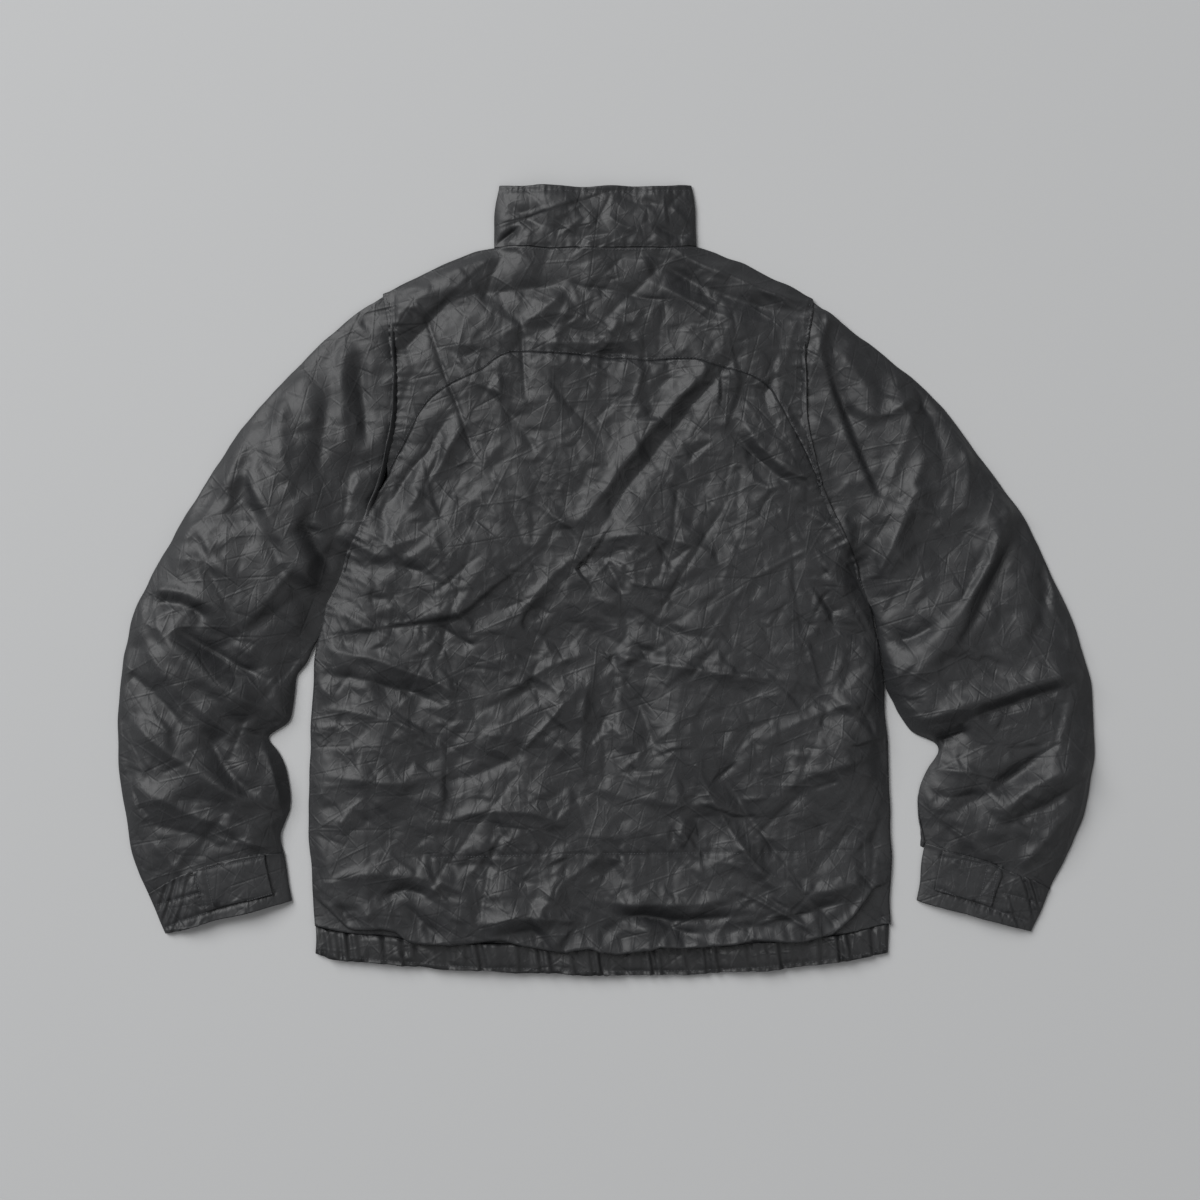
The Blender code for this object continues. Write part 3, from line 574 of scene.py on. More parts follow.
def makeCreases():
    # Short straight creases all over the garment: place, direction, length, reach and rise of each.
    source = np.random.default_rng(crumple["seed"])
    low, high = np.array(cadBounds[0])[:2], np.array(cadBounds[1])[:2]
    groups = []
    for count, shortest, longest, reach, rise in crumple["creases"]:
        middle = low + (high - low) * source.random((count, 2))
        angle = source.random(count) * math.pi
        length = (shortest + (longest - shortest) * source.random(count) ** 1.8) * mm
        wide = reach * (0.6 + 0.9 * source.random(count)) * mm
        height = rise * source.normal(0, 0.62, count)
        skew = 0.55 + 0.9 * source.random(count)
        groups.append(np.column_stack([middle, np.cos(angle), np.sin(angle), length, wide, height, skew]))
    return np.concatenate(groups)


def creaseRise(points, creases):
    # The points are sorted along x, so that each crease is worked out only for those near it.
    order = np.argsort(points[:, 0])
    xs, ys = points[order, 0], points[order, 1]
    total = np.zeros(len(points))
    for x, y, dirX, dirY, length, wide, height, skew in creases:
        reach = abs(dirX) * length / 2 + 3.2 * wide
        first, last = np.searchsorted(xs, (x - reach, x + reach))
        if first == last:
            continue
        awayX, awayY = xs[first:last] - x, ys[first:last] - y
        along = awayX * dirX + awayY * dirY
        across = awayX * dirY - awayY * dirX
        share = 1 - np.minimum(1, np.abs(along) / (length / 2))
        taper = np.minimum(1, share * crumple["creaseEnd"])
        reachHere = np.where(across > 0, wide * skew, wide / skew)
        total[first:last] += height * taper * np.exp(-np.abs(across) / reachHere)
    result = np.empty(len(points))
    result[order] = total
    return result


def makeFacets(size, rise, seed):
    # A crumpled plane of flat triangles between random corners.
    source = np.random.default_rng(seed)
    margin = 50 * mm
    low, high = np.array(cadBounds[0])[:2] - margin, np.array(cadBounds[1])[:2] + margin
    counts = ((high - low) / (size * mm)).astype(int) + 1
    corners = []
    for i in range(counts[0] + 1):
        for j in range(counts[1] + 1):
            shift = source.random(2) * crumple["scatter"] - crumple["scatter"] / 2
            corners.append(low + (np.array([i, j]) + shift) * size * mm)
    corners = np.array(corners)
    heights = source.normal(0, rise * 0.7, len(corners)) * mm
    found = delaunay_2d_cdt([Vector(p) for p in corners], [], [], 0, 1e-7)
    places = [(v.x, v.y, heights[ids[0]]) for v, ids in zip(found[0], found[3])]
    return BVHTree.FromPolygons(places, found[2])


def facetRise(points, tree):
    down = Vector((0, 0, -1))
    result = np.zeros(len(points))
    for i, (x, y) in enumerate(points[:, :2]):
        hit = tree.ray_cast(Vector((x, y, 1)), down)[0]
        if hit is not None:
            result[i] = hit.z / mm
    return result


creaseRows = makeCreases()
facetTrees = [makeFacets(*row, crumple["seed"] + i) for i, row in enumerate(crumple["facets"])]
print("creases laid out")


def ramp(values, low, high):
    share = np.clip((values - low) / (high - low), 0, 1)
    return share * share * (3 - 2 * share)


def crumpled(points, upward, folds=(), strength=1.0):
    # Raises the points of a top layer by its folds and creases. upward is 1 where the cloth faces up.
    room = ramp(points[:, 2] / mm, crumple["edgeHeight"], crumple["fullHeight"]) * upward
    rise = foldRise(points, folds)
    small = creaseRise(points, creaseRows)
    for tree in facetTrees:
        small += facetRise(points, tree)
    heights = points[:, 2] / mm + (rise * crumple["foldStrength"] + small * strength) * room
    floor = np.where(upward > 0.3, np.minimum(points[:, 2] / mm, crumple["lowest"]), 0)
    start, most = crumple["ceiling"]
    heights = np.where(heights > start, start + most * np.tanh((heights - start) / most), heights)
    result = points.copy()
    result[:, 2] = np.maximum(heights, floor) * mm
    result[:, :2] += wobbled(points)
    return result


def wobbled(points):
    # A small uneven shift, the same for all pieces, that takes the straightness off the outlines.
    x, y = points[:, 0] / mm, points[:, 1] / mm
    shift = np.zeros((len(points), 2))
    for i, (wide, tall, size) in enumerate(crumple["wobble"]):
        shift[:, 0] += size * np.sin(2 * math.pi * (x / wide + y / tall) + i)
        shift[:, 1] += size * np.sin(2 * math.pi * (x / tall - y / wide) + 2 * i + 1)
    return shift * mm


# Making a piece

sheetSettings = {
    "wall": 0.7,
    "undersideSpacing": 9.0,
    "rowStep": 0.866,  # rows of even triangles are this share of their spacing apart
    "rimRoom": 0.62,  # and this share of it is left free along the outline
    "smoothing": 24,
    "block": 4000,  # points worked on at a time
}


def addPiece(name, points, faces, material, node=None, wall=sheetSettings["wall"]):
    mesh = bpy.data.meshes.new(name)
    mesh.from_pydata([tuple(p) for p in points], [], [tuple(f) for f in faces])
    mesh.update()
    piece = bpy.data.objects.new(name, mesh)
    bpy.context.scene.collection.objects.link(piece)
    mesh.materials.append(material)
    mesh.shade_smooth()
    if wall:
        bpy.ops.object.select_all(action="DESELECT")
        piece.select_set(True)
        bpy.context.view_layer.objects.active = piece
        solid = piece.modifiers.new("wall", "SOLIDIFY")
        solid.thickness = wall * mm
        solid.offset = -1
        bpy.ops.object.modifier_apply(modifier="wall")
    for vert in mesh.vertices:
        vert.co.z = max(vert.co.z, 0)  # nothing goes through the floor
    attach(piece, "garment")
    if node:
        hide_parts(node)
    return piece


def closedSheet(outline, points, faces):
    # Gives a dense top its wall: a coarser underside on the same outline, just under the creases.
    count, cell = len(outline), sheetSettings["undersideSpacing"] * mm
    wall = sheetSettings["wall"] * mm
    low = points[:, :2].min(0) - 2 * cell
    size = ((points[:, :2].max(0) - low) / cell).astype(int) + 3
    lowest = np.full(tuple(size), 1.0)
    where = ((points[:, :2] - low) / cell).astype(int)
    np.minimum.at(lowest, (where[:, 0], where[:, 1]), points[:, 2])
    padded = np.pad(lowest, 1, constant_values=1.0)
    around = [padded[i : i + size[0], j : j + size[1]] for i in range(3) for j in range(3)]
    lowest = np.min(around, axis=0)
    flat, lower = flatSheet(points[:count, :2], sheetSettings["undersideSpacing"])
    where = ((flat - low) / cell).astype(int)
    heights = lowest[where[:, 0], where[:, 1]] - wall
    heights[:count] = points[:count, 2] - wall
    allPoints = np.concatenate([points, np.column_stack([flat, heights])])
    start = len(points)
    here = np.arange(count)
    after = np.roll(here, -1)
    rimLow = np.column_stack([here, start + here, start + after])
    rimHigh = np.column_stack([here, start + after, after])
    return allPoints, np.concatenate([faces, lower[:, ::-1] + start, rimLow, rimHigh])


def flatSheet(outline, spacing):
    # Even triangles inside an outline. The outline's points come first.
    step, rowStep = spacing * mm, sheetSettings["rowStep"]
    low, high = outline[:, :2].min(0), outline[:, :2].max(0)
    rows = int((high[1] - low[1]) / (step * rowStep)) + 1
    columns = int((high[0] - low[0]) / step) + 1
    grid = np.array([
        (low[0] + (i + 0.5 * (j % 2)) * step, low[1] + j * step * rowStep)
        for j in range(rows) for i in range(columns)
    ])
    room = gapToPoints(grid, outline) > sheetSettings["rimRoom"] * step
    keep = insideOutline(grid, outline) & room
    places = np.concatenate([outline[:, :2], grid[keep]])
    count = len(outline)
    edges = [(i, (i + 1) % count) for i in range(count)]
    found = delaunay_2d_cdt([Vector(p) for p in places], edges, [], 1, 1e-7)
    return np.array([tuple(p) for p in found[0]]), np.array([f for f in found[2] if len(f) == 3])


def denseSheet(outline, spacing, heightTree, fromBelow=False):
    # A sheet of even triangles inside an outline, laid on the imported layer.
    flat, faces = flatSheet(outline, spacing)
    heights = np.zeros(len(flat))
    start, way = (-1.0, 1) if fromBelow else (1.0, -1)
    for i, (x, y) in enumerate(flat):
        hit = None
        if i >= len(outline):
            hit = heightTree.ray_cast(Vector((x, y, start)), Vector((0, 0, way)))[0]
        if hit is None:
            nearest = np.argmin(np.sum((outline[:, :2] - (x, y)) ** 2, axis=1))
            heights[i] = outline[nearest, 2]
        else:
            heights[i] = hit.z
    return smoothed(np.column_stack([flat, heights]), faces), faces


def insideOutline(points, outline):
    inside = np.zeros(len(points), bool)
    after = np.roll(outline, -1, 0)
    for (x0, y0), (x1, y1) in zip(outline[:, :2], after[:, :2]):
        if y0 == y1:
            continue
        crossing = (points[:, 1] >= min(y0, y1)) & (points[:, 1] < max(y0, y1))
        at = x0 + (points[:, 1] - y0) * (x1 - x0) / (y1 - y0)
        inside ^= crossing & (points[:, 0] < at)
    return inside


def gapToPoints(points, others):
    # The distance of each point to the nearest of some others, worked out block by block.
    result = np.full(len(points), 1e9)
    size = sheetSettings["block"]
    for start in range(0, len(points), size):
        away = points[start : start + size, None, :2] - others[None, :, :2]
        result[start : start + size] = np.sqrt((away**2).sum(2).min(1))
    return result


def smoothed(points, faces):
    # Evens out the heights between neighbours, and leaves the outline's as they are.
    pairs = np.concatenate([faces[:, [0, 1]], faces[:, [1, 2]], faces[:, [2, 0]]])
    keys = np.sort(pairs, axis=1)
    _, index, counts = np.unique(keys, axis=0, return_inverse=True, return_counts=True)
    rim = np.zeros(len(points), bool)
    rim[keys[counts[index.reshape(-1)] == 1].reshape(-1)] = True
    heights = points[:, 2].copy()
    weight = np.bincount(pairs.reshape(-1), minlength=len(points))
    for _ in range(sheetSettings["smoothing"]):
        total = np.bincount(pairs[:, 0], heights[pairs[:, 1]], len(points))
        total += np.bincount(pairs[:, 1], heights[pairs[:, 0]], len(points))
        heights = np.where(rim, heights, 0.4 * heights + 0.6 * total / np.maximum(weight, 1))
    return np.column_stack([points[:, :2], heights])


def denseTube(node, seeds, levels, cutEvery=0):
    # The outer skin of a tube or a band, subdivided: its points, its faces and how much each point faces up.
    # A long band is first cut across, every few millimetres.
    bm = skinOf(node, seeds)
    low, high = cadBounds[0][0] / mm, cadBounds[1][0] / mm
    for x in np.arange(low, high, cutEvery) if cutEvery else ():
        geom = bm.verts[:] + bm.edges[:] + bm.faces[:]
        bmesh.ops.bisect_plane(bm, geom=geom, plane_co=(x * mm, 0, 0), plane_no=(1, 0, 0), dist=0.05 * mm)
    most = skinSettings["joinAngle"]
    bmesh.ops.join_triangles(
        bm, faces=bm.faces[:], angle_face_threshold=most, angle_shape_threshold=most
    )
    mesh = bpy.data.meshes.new(node + "Skin")
    bm.to_mesh(mesh)
    bm.free()
    holder = bpy.data.objects.new(node + "Skin", mesh)
    bpy.context.scene.collection.objects.link(holder)
    bpy.ops.object.select_all(action="DESELECT")
    holder.select_set(True)
    bpy.context.view_layer.objects.active = holder
    finer = holder.modifiers.new("finer", "SUBSURF")
    finer.levels = finer.render_levels = levels
    finer.boundary_smooth = "PRESERVE_CORNERS"
    bpy.ops.object.modifier_apply(modifier="finer")
    points = np.array([vert.co for vert in holder.data.vertices])
    facing = np.array([vert.normal.z for vert in holder.data.vertices])
    faces = [tuple(face.vertices) for face in holder.data.polygons]
    bpy.data.objects.remove(holder)
    return points, faces, ramp(facing, 0.0, 0.45)


# Stitches: one small grain of thread, copied along the sewn lines and joined

stitch = {"length": 1.1, "width": 0.34, "height": 0.26, "above": 0.12}


def threadFinish():
    finish = Finish("blackThread", {"Specular IOR Level": 0.4})
    strands = {"Vector": place(finish), "Scale": 900.0, "Distortion": 1.0}
    twist = finish.add("ShaderNodeTexWave", {}, strands)
    stops = {"stops": [(0.2, (0.030, 0.031, 0.034, 1)), (0.9, (0.070, 0.072, 0.078, 1))]}
    finish.output("Base Color", finish.add("ShaderNodeValToRGB", stops, {"Fac": twist}))
    finish.output("Roughness", twist * 0.15 + 0.6)
    return finish.material


def stitchShape():
    bpy.ops.object.select_all(action="DESELECT")
    bpy.ops.mesh.primitive_uv_sphere_add(segments=6, ring_count=4, radius=mm, location=(0, 0, 0))
    bpy.ops.object.mode_set(mode="EDIT")
    bpy.ops.mesh.select_all(action="SELECT")
    bpy.ops.transform.resize(value=(stitch["length"], stitch["width"], stitch["height"]))
    bpy.ops.object.mode_set(mode="OBJECT")
    grain = bpy.context.object
    points = np.array([vert.co for vert in grain.data.vertices])
    faces = [tuple(face.vertices) for face in grain.data.polygons]
    bpy.data.objects.remove(grain)
    return points, faces


thread = {"material": threadFinish(), "shape": stitchShape()}


def surfaceOf(piece):
    bm = bmesh.new()
    bm.from_mesh(piece.data)
    tree = BVHTree.FromBMesh(bm)
    bm.free()
    return tree


def topAt(trees, place):
    # The height of the highest of some pieces at a place.
    hits = [tree.ray_cast(Vector((place[0], place[1], 0.1)), Vector((0, 0, -1)))[0] for tree in trees]
    return max((hit.z for hit in hits if hit is not None), default=None)


def addStitches(name, lines, pieces, pitch):
    trees = [surfaceOf(piece) for piece in pieces]
    shape, shapeFaces = thread["shape"]
    points, faces = [], []
    half = stitch["length"] * mm
    for line in lines:
        steps = np.linalg.norm(np.diff(line[:, :2], axis=0), axis=1)
        lengths = np.concatenate([[0], np.cumsum(steps)])
        for along in np.arange(pitch / 2, lengths[-1] / mm, pitch) * mm:
            ends = [
                np.array([np.interp(at, lengths, line[:, i]) for i in (0, 1)])
                for at in (along - half, along + half)
            ]
            heights = [topAt(trees, end) for end in ends]
            if None in heights or abs(heights[0] - heights[1]) > half:
                continue
            start, end = (Vector((*spot, height)) for spot, height in zip(ends, heights))
            turn = (end - start).to_track_quat("X", "Z").to_matrix()
            middle = (start + end) / 2 + Vector((0, 0, stitch["above"] * mm))
            faces += [tuple(i + len(points) for i in face) for face in shapeFaces]
            points += [tuple(turn @ Vector(point) + middle) for point in shape]
    addPiece(name, points, faces, thread["material"], wall=0)


def offsetLine(line, amount):
    # A line moved sideways, to its left where the amount is positive.
    ahead = np.gradient(line[:, :2], axis=0)
    across = np.column_stack([-ahead[:, 1], ahead[:, 0]]) / np.linalg.norm(ahead, axis=1)[:, None]
    result = line.copy()
    result[:, :2] += across * amount * mm
    return result


# Back yoke and back panel

back = {
    "spacing": 2.05,
    "stitchInside": 1.9,
    "lap": 0.26,  # each sheet reaches this far over its seam gap, so that no floor shows through
    "armholeLap": 2.0,  # and this much further over the sleeves
    "lowStitch": (
        (-174, -275.5), (-86, -272.5), (-6, -271.5), (94, -270.5), (184, -269.5), (198, -268.5)
    ),
    "sides": 240,  # further out than this, the outline below the armpits is a side of the body
}
# The cloth along a seam: how deep its groove is, how far its ridges reach, their pitch and their rise
seamPuckers = {
    "armhole": (0.7, 11, 11, 3.0),
    "yoke": (0.45, 8, 13, 1.4),
    "low": (0.7, 9, 12, 1.8),
    "cuff": (1.1, 5, 6, 1.2),
    "cuffTab": (0.9, 5, 6, 1.0),
    "hem": (0.9, 8, 12, 1.6),
    "neck": (1.0, 8, 14, 1.8),
    "collarTop": (1.0, 4, 9, 1.3),
}
seamCloth = {
    "groove": 2.6,
    "still": (2.5, 8.0),  # cloth below the first height lies still, and above the second it moves fully
}
billow = {
    # the lower edge of the cloth that bulges over the hem band
    "x": (-300, -257, -214, -155, -82, -6, 53, 116, 198, 225, 247, 265, 292),
    "y": (-312, -346, -352, -363, -363, -371, -367, -362, -360, -352, -334, -310, -296),
    "low": 10.2,  # height of the cloth below that edge
    "full": 17.5,
    "sideReach": 42.0,
    "edgeHeight": 3.0,
    "zigzag": (1.1, 1.3),  # how much of the larger and of the smaller flats bends the lower edge
    "gathers": ((27.0, 1.5, 5), (13.0, 0.6, 6)),  # pitch, rise and seed of the ridges that run up from it
    "gatherLean": 0.2,
    "gatherFacets": 1.5,
    "reach": 30.0,
    "drop": 4.5,  # the cloth comes down to its lower edge over this length
    "blend": (30, 12),  # above the first distance the cloth is as it was, and below the second all billow
    "foldsFrom": (2, 16),
    "pushed": 3.0,  # how far the edge hangs over the band, and over which length it is pushed out
    "pushLength": 4,
}


def layerTree(node, up):
    bm = layerOf(node, up)
    tree = BVHTree.FromBMesh(bm)
    bm.free()
    return tree


def outwardOf(outline, span):
    # The direction out of an outline at each of its points, across the line between its neighbours.
    ahead = np.roll(outline, -span, 0) - np.roll(outline, span, 0)
    return np.column_stack([ahead[:, 1], -ahead[:, 0]]) / np.linalg.norm(ahead[:, :2], axis=1)[:, None]


def sheetOutline(node, up, spacing):
    bm = layerOf(node, up)
    outline = evenOutline(outlineOf(bm), spacing * mm)
    bm.free()
    outline[:, :2] += outwardOf(outline, 1) * back["lap"] * mm
    return outline


def wavy(along, pitch, seed):
    # An uneven row of ridges, from 0 to 1, along a seam.
    source = np.random.default_rng(seed)
    total = np.zeros(len(along))
    waves, oneTurn = 5, 6.28
    for i in range(waves):
        phase, scale = source.random() * oneTurn, (0.6 + 0.25 * i)
        total += np.sin(along / (pitch * mm) * scale * oneTurn + phase) / waves
    return 0.5 + 0.5 * np.tanh(1.6 * total)


def puckered(points, seam, kind, seed):
    # Sinks the cloth along a seam and gathers it into short ridges beside it.
    depth, reach, pitch, rise = seamPuckers[kind]
    gap, along, _ = distanceTo(points, seam)
    result = points.copy()
    ridges = (wavy(along, pitch, seed) - 0.5) * rise * np.exp(-gap / (reach * mm))
    groove = depth * np.exp(-((gap / (seamCloth["groove"] * mm)) ** 2))
    room = ramp(points[:, 2] / mm, *seamCloth["still"])
    result[:, 2] += (ridges - groove) * room * mm
    return result


sleeveNodes = {"left": "left_sleeve", "right": "right_sleeve"}
outlines = {node: sheetOutline(node, 1, back["spacing"]) for node in ("back_panel", "back_yoke")}
seams = {
    "yoke": seamBetween(outlines["back_panel"], outlines["back_yoke"]),
    "hem": seamBetween(outlines["back_panel"], pointsOf("hem_band")),
    "neck": seamBetween(outlines["back_yoke"], pointsOf("collar")),
    "low": np.array([(x, y, 0) for x, y in back["lowStitch"]]) * mm,
}
for side, node in sleeveNodes.items():
    cuff = sheetOutline(side + "_cuff", 1, back["spacing"])
    seams[side + "ArmholeUp"] = seamBetween(outlines["back_yoke"], pointsOf(node))
    seams[side + "ArmholeDown"] = seamBetween(outlines["back_panel"], pointsOf(node))
    seams[side + "Cuff"] = seamBetween(cuff, pointsOf(node))
armholes = ("leftArmholeUp", "leftArmholeDown", "rightArmholeUp", "rightArmholeDown")
print("seams found:", {name: len(line) for name, line in seams.items()})


def lapped(outline):
    # Carries a body outline further over the sleeves, along the armholes.
    gaps = np.min([distanceTo(outline, seams[name])[0] for name in armholes], axis=0)
    amount = np.where(gaps < back["lap"] * mm, back["armholeLap"], 0.0)
    for _ in range(skinSettings["roundPasses"]):
        amount = 0.5 * amount + 0.25 * (np.roll(amount, 1) + np.roll(amount, -1))
    result = outline.copy()
    result[:, :2] += outwardOf(outline, 2) * amount[:, None] * mm
    return result


def withSeams(points):
    for i, name in enumerate(armholes):
        points = puckered(points, seams[name], "armhole", seed=20 + i)
    return puckered(points, seams["yoke"], "yoke", seed=27)


def sideGap(points):
    # How far each point is from the side edges of the body, in millimetres.
    outline = outlines["back_panel"]
    armpit = min(seams[name][:, 1].min() for name in armholes)
    bottom = seams["hem"][:, 1].max() - 2 * mm
    side = (outline[:, 1] < armpit) & (outline[:, 1] > bottom) & (np.abs(outline[:, 0]) > back["sides"] * mm)
    return gapToPoints(points, outline[side]) / mm


def billowed(points):
    # The body cloth bulges over the hem band: a steep drop along a wavy edge, pushed out over the band.
    x, y = points[:, 0] / mm, points[:, 1] / mm
    order = np.argsort(seams["hem"][:, 0])
    seamY = np.interp(x, seams["hem"][order, 0] / mm, seams["hem"][order, 1] / mm)
    edgeY = np.interp(x, billow["x"], billow["y"])
    level = np.column_stack([points[:, 0], np.full(len(points), min(billow["y"]) * mm)])
    for share, tree in zip(billow["zigzag"], facetTrees[1:3]):
        edgeY = edgeY + share * facetRise(level, tree)
    above = y - np.maximum(edgeY, seamY)
    overhang = np.maximum(0, seamY - edgeY) + billow["pushed"]
    crown = np.sin(math.pi / 2 * np.clip(sideGap(points) / billow["sideReach"], 0, 1)) ** 0.8
    low = billow["edgeHeight"] + (billow["low"] - billow["edgeHeight"]) * crown
    full = billow["edgeHeight"] + (billow["full"] - billow["edgeHeight"]) * crown
    shape = low + (full - low) * ramp(above, 0, billow["drop"])
    near = ramp(above, *billow["blend"])
    across = points[:, 0] + billow["gatherLean"] * points[:, 1]
    ridges = np.zeros(len(points))
    for pitch, rise, seed in billow["gathers"]:
        ridges += (wavy(across, pitch, seed) - 0.5) * rise * 2
    ridges += facetRise(points, facetTrees[2]) * billow["gatherFacets"]
    ridges = ridges * ramp(above, 0, 5) * np.exp(-np.maximum(above, 0) / billow["reach"])
    kept = (points[:, 2] / mm - full) * ramp(above, *billow["foldsFrom"])
    result = points.copy()
    result[:, 2] = (points[:, 2] / mm * (1 - near) + (shape + kept) * near + ridges * crown) * mm
    reach = np.maximum(above, 0) / billow["pushLength"]
    result[:, 1] -= overhang * crown * reach * np.exp(1 - reach) * mm
    return result


def addBack():
    pieces = []
    for node, name in (("back_panel", "backPanel"), ("back_yoke", "backYoke")):
        outline = lapped(outlines[node])
        points, faces = denseSheet(outline, back["spacing"], layerTree(node, 1))
        points = withSeams(crumpled(points, 1.0, bodyFolds))
        if node == "back_panel":
            points = billowed(puckered(points, seams["low"], "low", seed=31))
        points, faces = closedSheet(outline, points, faces)
        pieces.append(addPiece(name, points, faces, nylonFinish(name + "Nylon"), node, wall=0))
        print(name, "made of", len(faces), "faces")
    inside = back["stitchInside"]
    upper = [offsetLine(seams[name], inside) for name in armholes if name.endswith("Up")]
    lower = [offsetLine(seams[name], inside) for name in armholes if name.endswith("Down")]
    addStitches("armholeStitches", upper + lower, pieces, pitch=3.4)
    addStitches("yokeStitches", [offsetLine(seams["yoke"], -inside)], pieces, pitch=3.4)
    addStitches("lowStitches", [seams["low"]], pieces, pitch=3.0)
    addStitches("neckStitches", [offsetLine(seams["neck"], inside)], pieces, pitch=3.2)


# Fronts: flat on the floor, under the back

fronts = {
    "spacing": 6.0,
    "facets": 0.5,
    "ripple": 0.35,  # this share of the creases shows, on top of a small lift
    "lift": 0.4,
    "highest": 1.6,
    "flatEdge": (2, 26),
}


def addFronts():
    for side in ("left", "right"):
        node = side + "_front"
        outline = sheetOutline(node, -1, fronts["spacing"])
        points, faces = denseSheet(outline, fronts["spacing"], layerTree(node, -1), fromBelow=True)
        edge = gapToPoints(points, outline) / mm
        small = creaseRise(points, creaseRows)
        for tree in facetTrees:
            small += facetRise(points, tree) * fronts["facets"]
        lift = np.clip(small * fronts["ripple"] + fronts["lift"], 0, fronts["highest"])
        points[:, 2] += lift * ramp(edge, *fronts["flatEdge"]) * mm
        points[:, :2] += wobbled(points)
        addPiece(side + "Front", points, faces[:, ::-1], nylonFinish(side + "FrontNylon"), node)
    print("fronts made")


# Sleeves

sleeves = {
    "levels": 3,
    # what lies nearer to the armhole or the cuff than the first of these comes up to it, and what lies nearer
    # than the second follows
    "rimGap": (5.5, 16.0),
    "drawIn": 20.0,  # over this length the sleeve's edge comes to the height of what it is sewn to
    "lineEnds": 8.0,  # a seam is carried on by this much at both ends
    "tuck": 4.0,  # how far that edge reaches under the cloth it is sewn to
    "tuckDown": (1.3, 7.0),  # how far down it goes, and over which length
    # below the armhole the sleeve presses against the body: from this y to that, by this much
    "press": {"left": (30, -78, 3.4), "right": (22, -112, 5.0)},
    "pressReach": 16,
}


def lengthsAlong(line):
    return np.concatenate([[0], np.cumsum(np.linalg.norm(np.diff(line[:, :2], axis=0), axis=1))])


def nearestOn(points, line):
    # The nearest point of a line, with its height.
    _, along, _ = distanceTo(points, line)
    return np.column_stack([np.interp(along, lengthsAlong(line), line[:, k]) for k in range(3)])


def extended(line, length):
    # A line carried straight on at both ends.
    first, last = line[0] - line[4], line[-1] - line[-5]
    before = line[0] + first / np.linalg.norm(first) * length * mm
    after = line[-1] + last / np.linalg.norm(last) * length * mm
    return np.concatenate([[before], line, [after]])


def drawnTo(points, upward, line):
    # Brings the edge of a sleeve to a seam and tucks it in there, so that the two cloths meet.
    gap, along, side = distanceTo(points, line)
    gap = gap / mm
    target = nearestOn(points, line)
    result = points.copy()
    first, last = sleeves["rimGap"]
    newGap = np.clip(gap - first, 0, None) * last / (last - first)
    share = np.where(gap < last, 1 - newGap / np.maximum(gap, 1e-6), 0) * upward
    ahead = np.gradient(line[:, :2], axis=0)
    across = np.column_stack([ahead[:, 1], -ahead[:, 0]]) / np.linalg.norm(ahead, axis=1)[:, None]
    inward = np.column_stack([np.interp(along, lengthsAlong(line), across[:, k]) for k in range(2)])
    inward *= np.sign(np.sum(side[(gap < last) & (upward > 0.5)]))
    reach = sleeves["tuck"]
    drop, dropLength = sleeves["tuckDown"]
    tucked = np.clip(1 - newGap / reach, 0, 1) * upward
    lowered = np.clip(1 - newGap / dropLength, 0, 1) * upward
    result[:, :2] += (target[:, :2] - points[:, :2]) * share[:, None]
    result[:, :2] += inward * (reach * mm * tucked)[:, None]
    level = np.exp(-np.maximum(gap - first, 0) / sleeves["drawIn"]) * upward
    result[:, 2] += (target[:, 2] - points[:, 2]) * level - drop * mm * lowered
    return result


def pressed(points, side):
    # Moves the inner fold of a sleeve up to the side of the body below the armhole.
    high, low, amount = sleeves["press"][side]
    towards = 1 if side == "left" else -1
    outline = outlines["back_panel"]
    x, y = outline[:, 0] * towards, outline[:, 1]
    edge = outline[(x < -200 * mm) & (y < high * mm) & (y > (low - 20) * mm)]
    gap = gapToPoints(points, edge) / mm
    y = points[:, 1] / mm
    ends = ramp(y, low - 14, low + 6) * ramp(y, high, high - 30)
    share = ends * np.exp(-((gap / sleeves["pressReach"]) ** 2))
    result = points.copy()
    result[:, 0] += towards * amount * share * mm
    return result


def addSleeves():
    for side, node in sleeveNodes.items():
        points, faces, upward = denseTube(node, ((1, None), (-1, None)), sleeves["levels"])
        upper, lower = seams[side + "ArmholeUp"], seams[side + "ArmholeDown"]
        armhole = np.concatenate([upper, lower] if side == "left" else [lower, upper])
        for line in (armhole, seams[side + "Cuff"]):
            points = drawnTo(points, upward, extended(line, sleeves["lineEnds"]))
        points = crumpled(points, upward, bodyFolds)
        points = withSeams(pressed(points, side))
        addPiece(side + "Sleeve", points, faces, nylonFinish(side + "SleeveNylon"), node)
        print(side, "sleeve made of", len(faces), "faces")


# Cuffs, tabs, hem band and collar

bands = {
    "wall": 1.4,
    "levels": 4,
    "still": (3, 7),  # gathers start above the first height and are full above the second
}
cuffs = {
    "gatherPitch": 11.0,
    "gatherRise": 2.6,
    "gatherLean": 0.32,
    "elastic": (0.58, 0.70),  # from the first share of the width to the second, the cuff becomes gathered
    "gatherLeast": 0.12,
    "rim": (1.0, 3.0),
    "crumple": 0.5,
    "tabWall": 1.2,
    "tabLevels": 3,
    "tabCrumple": 0.35,
}
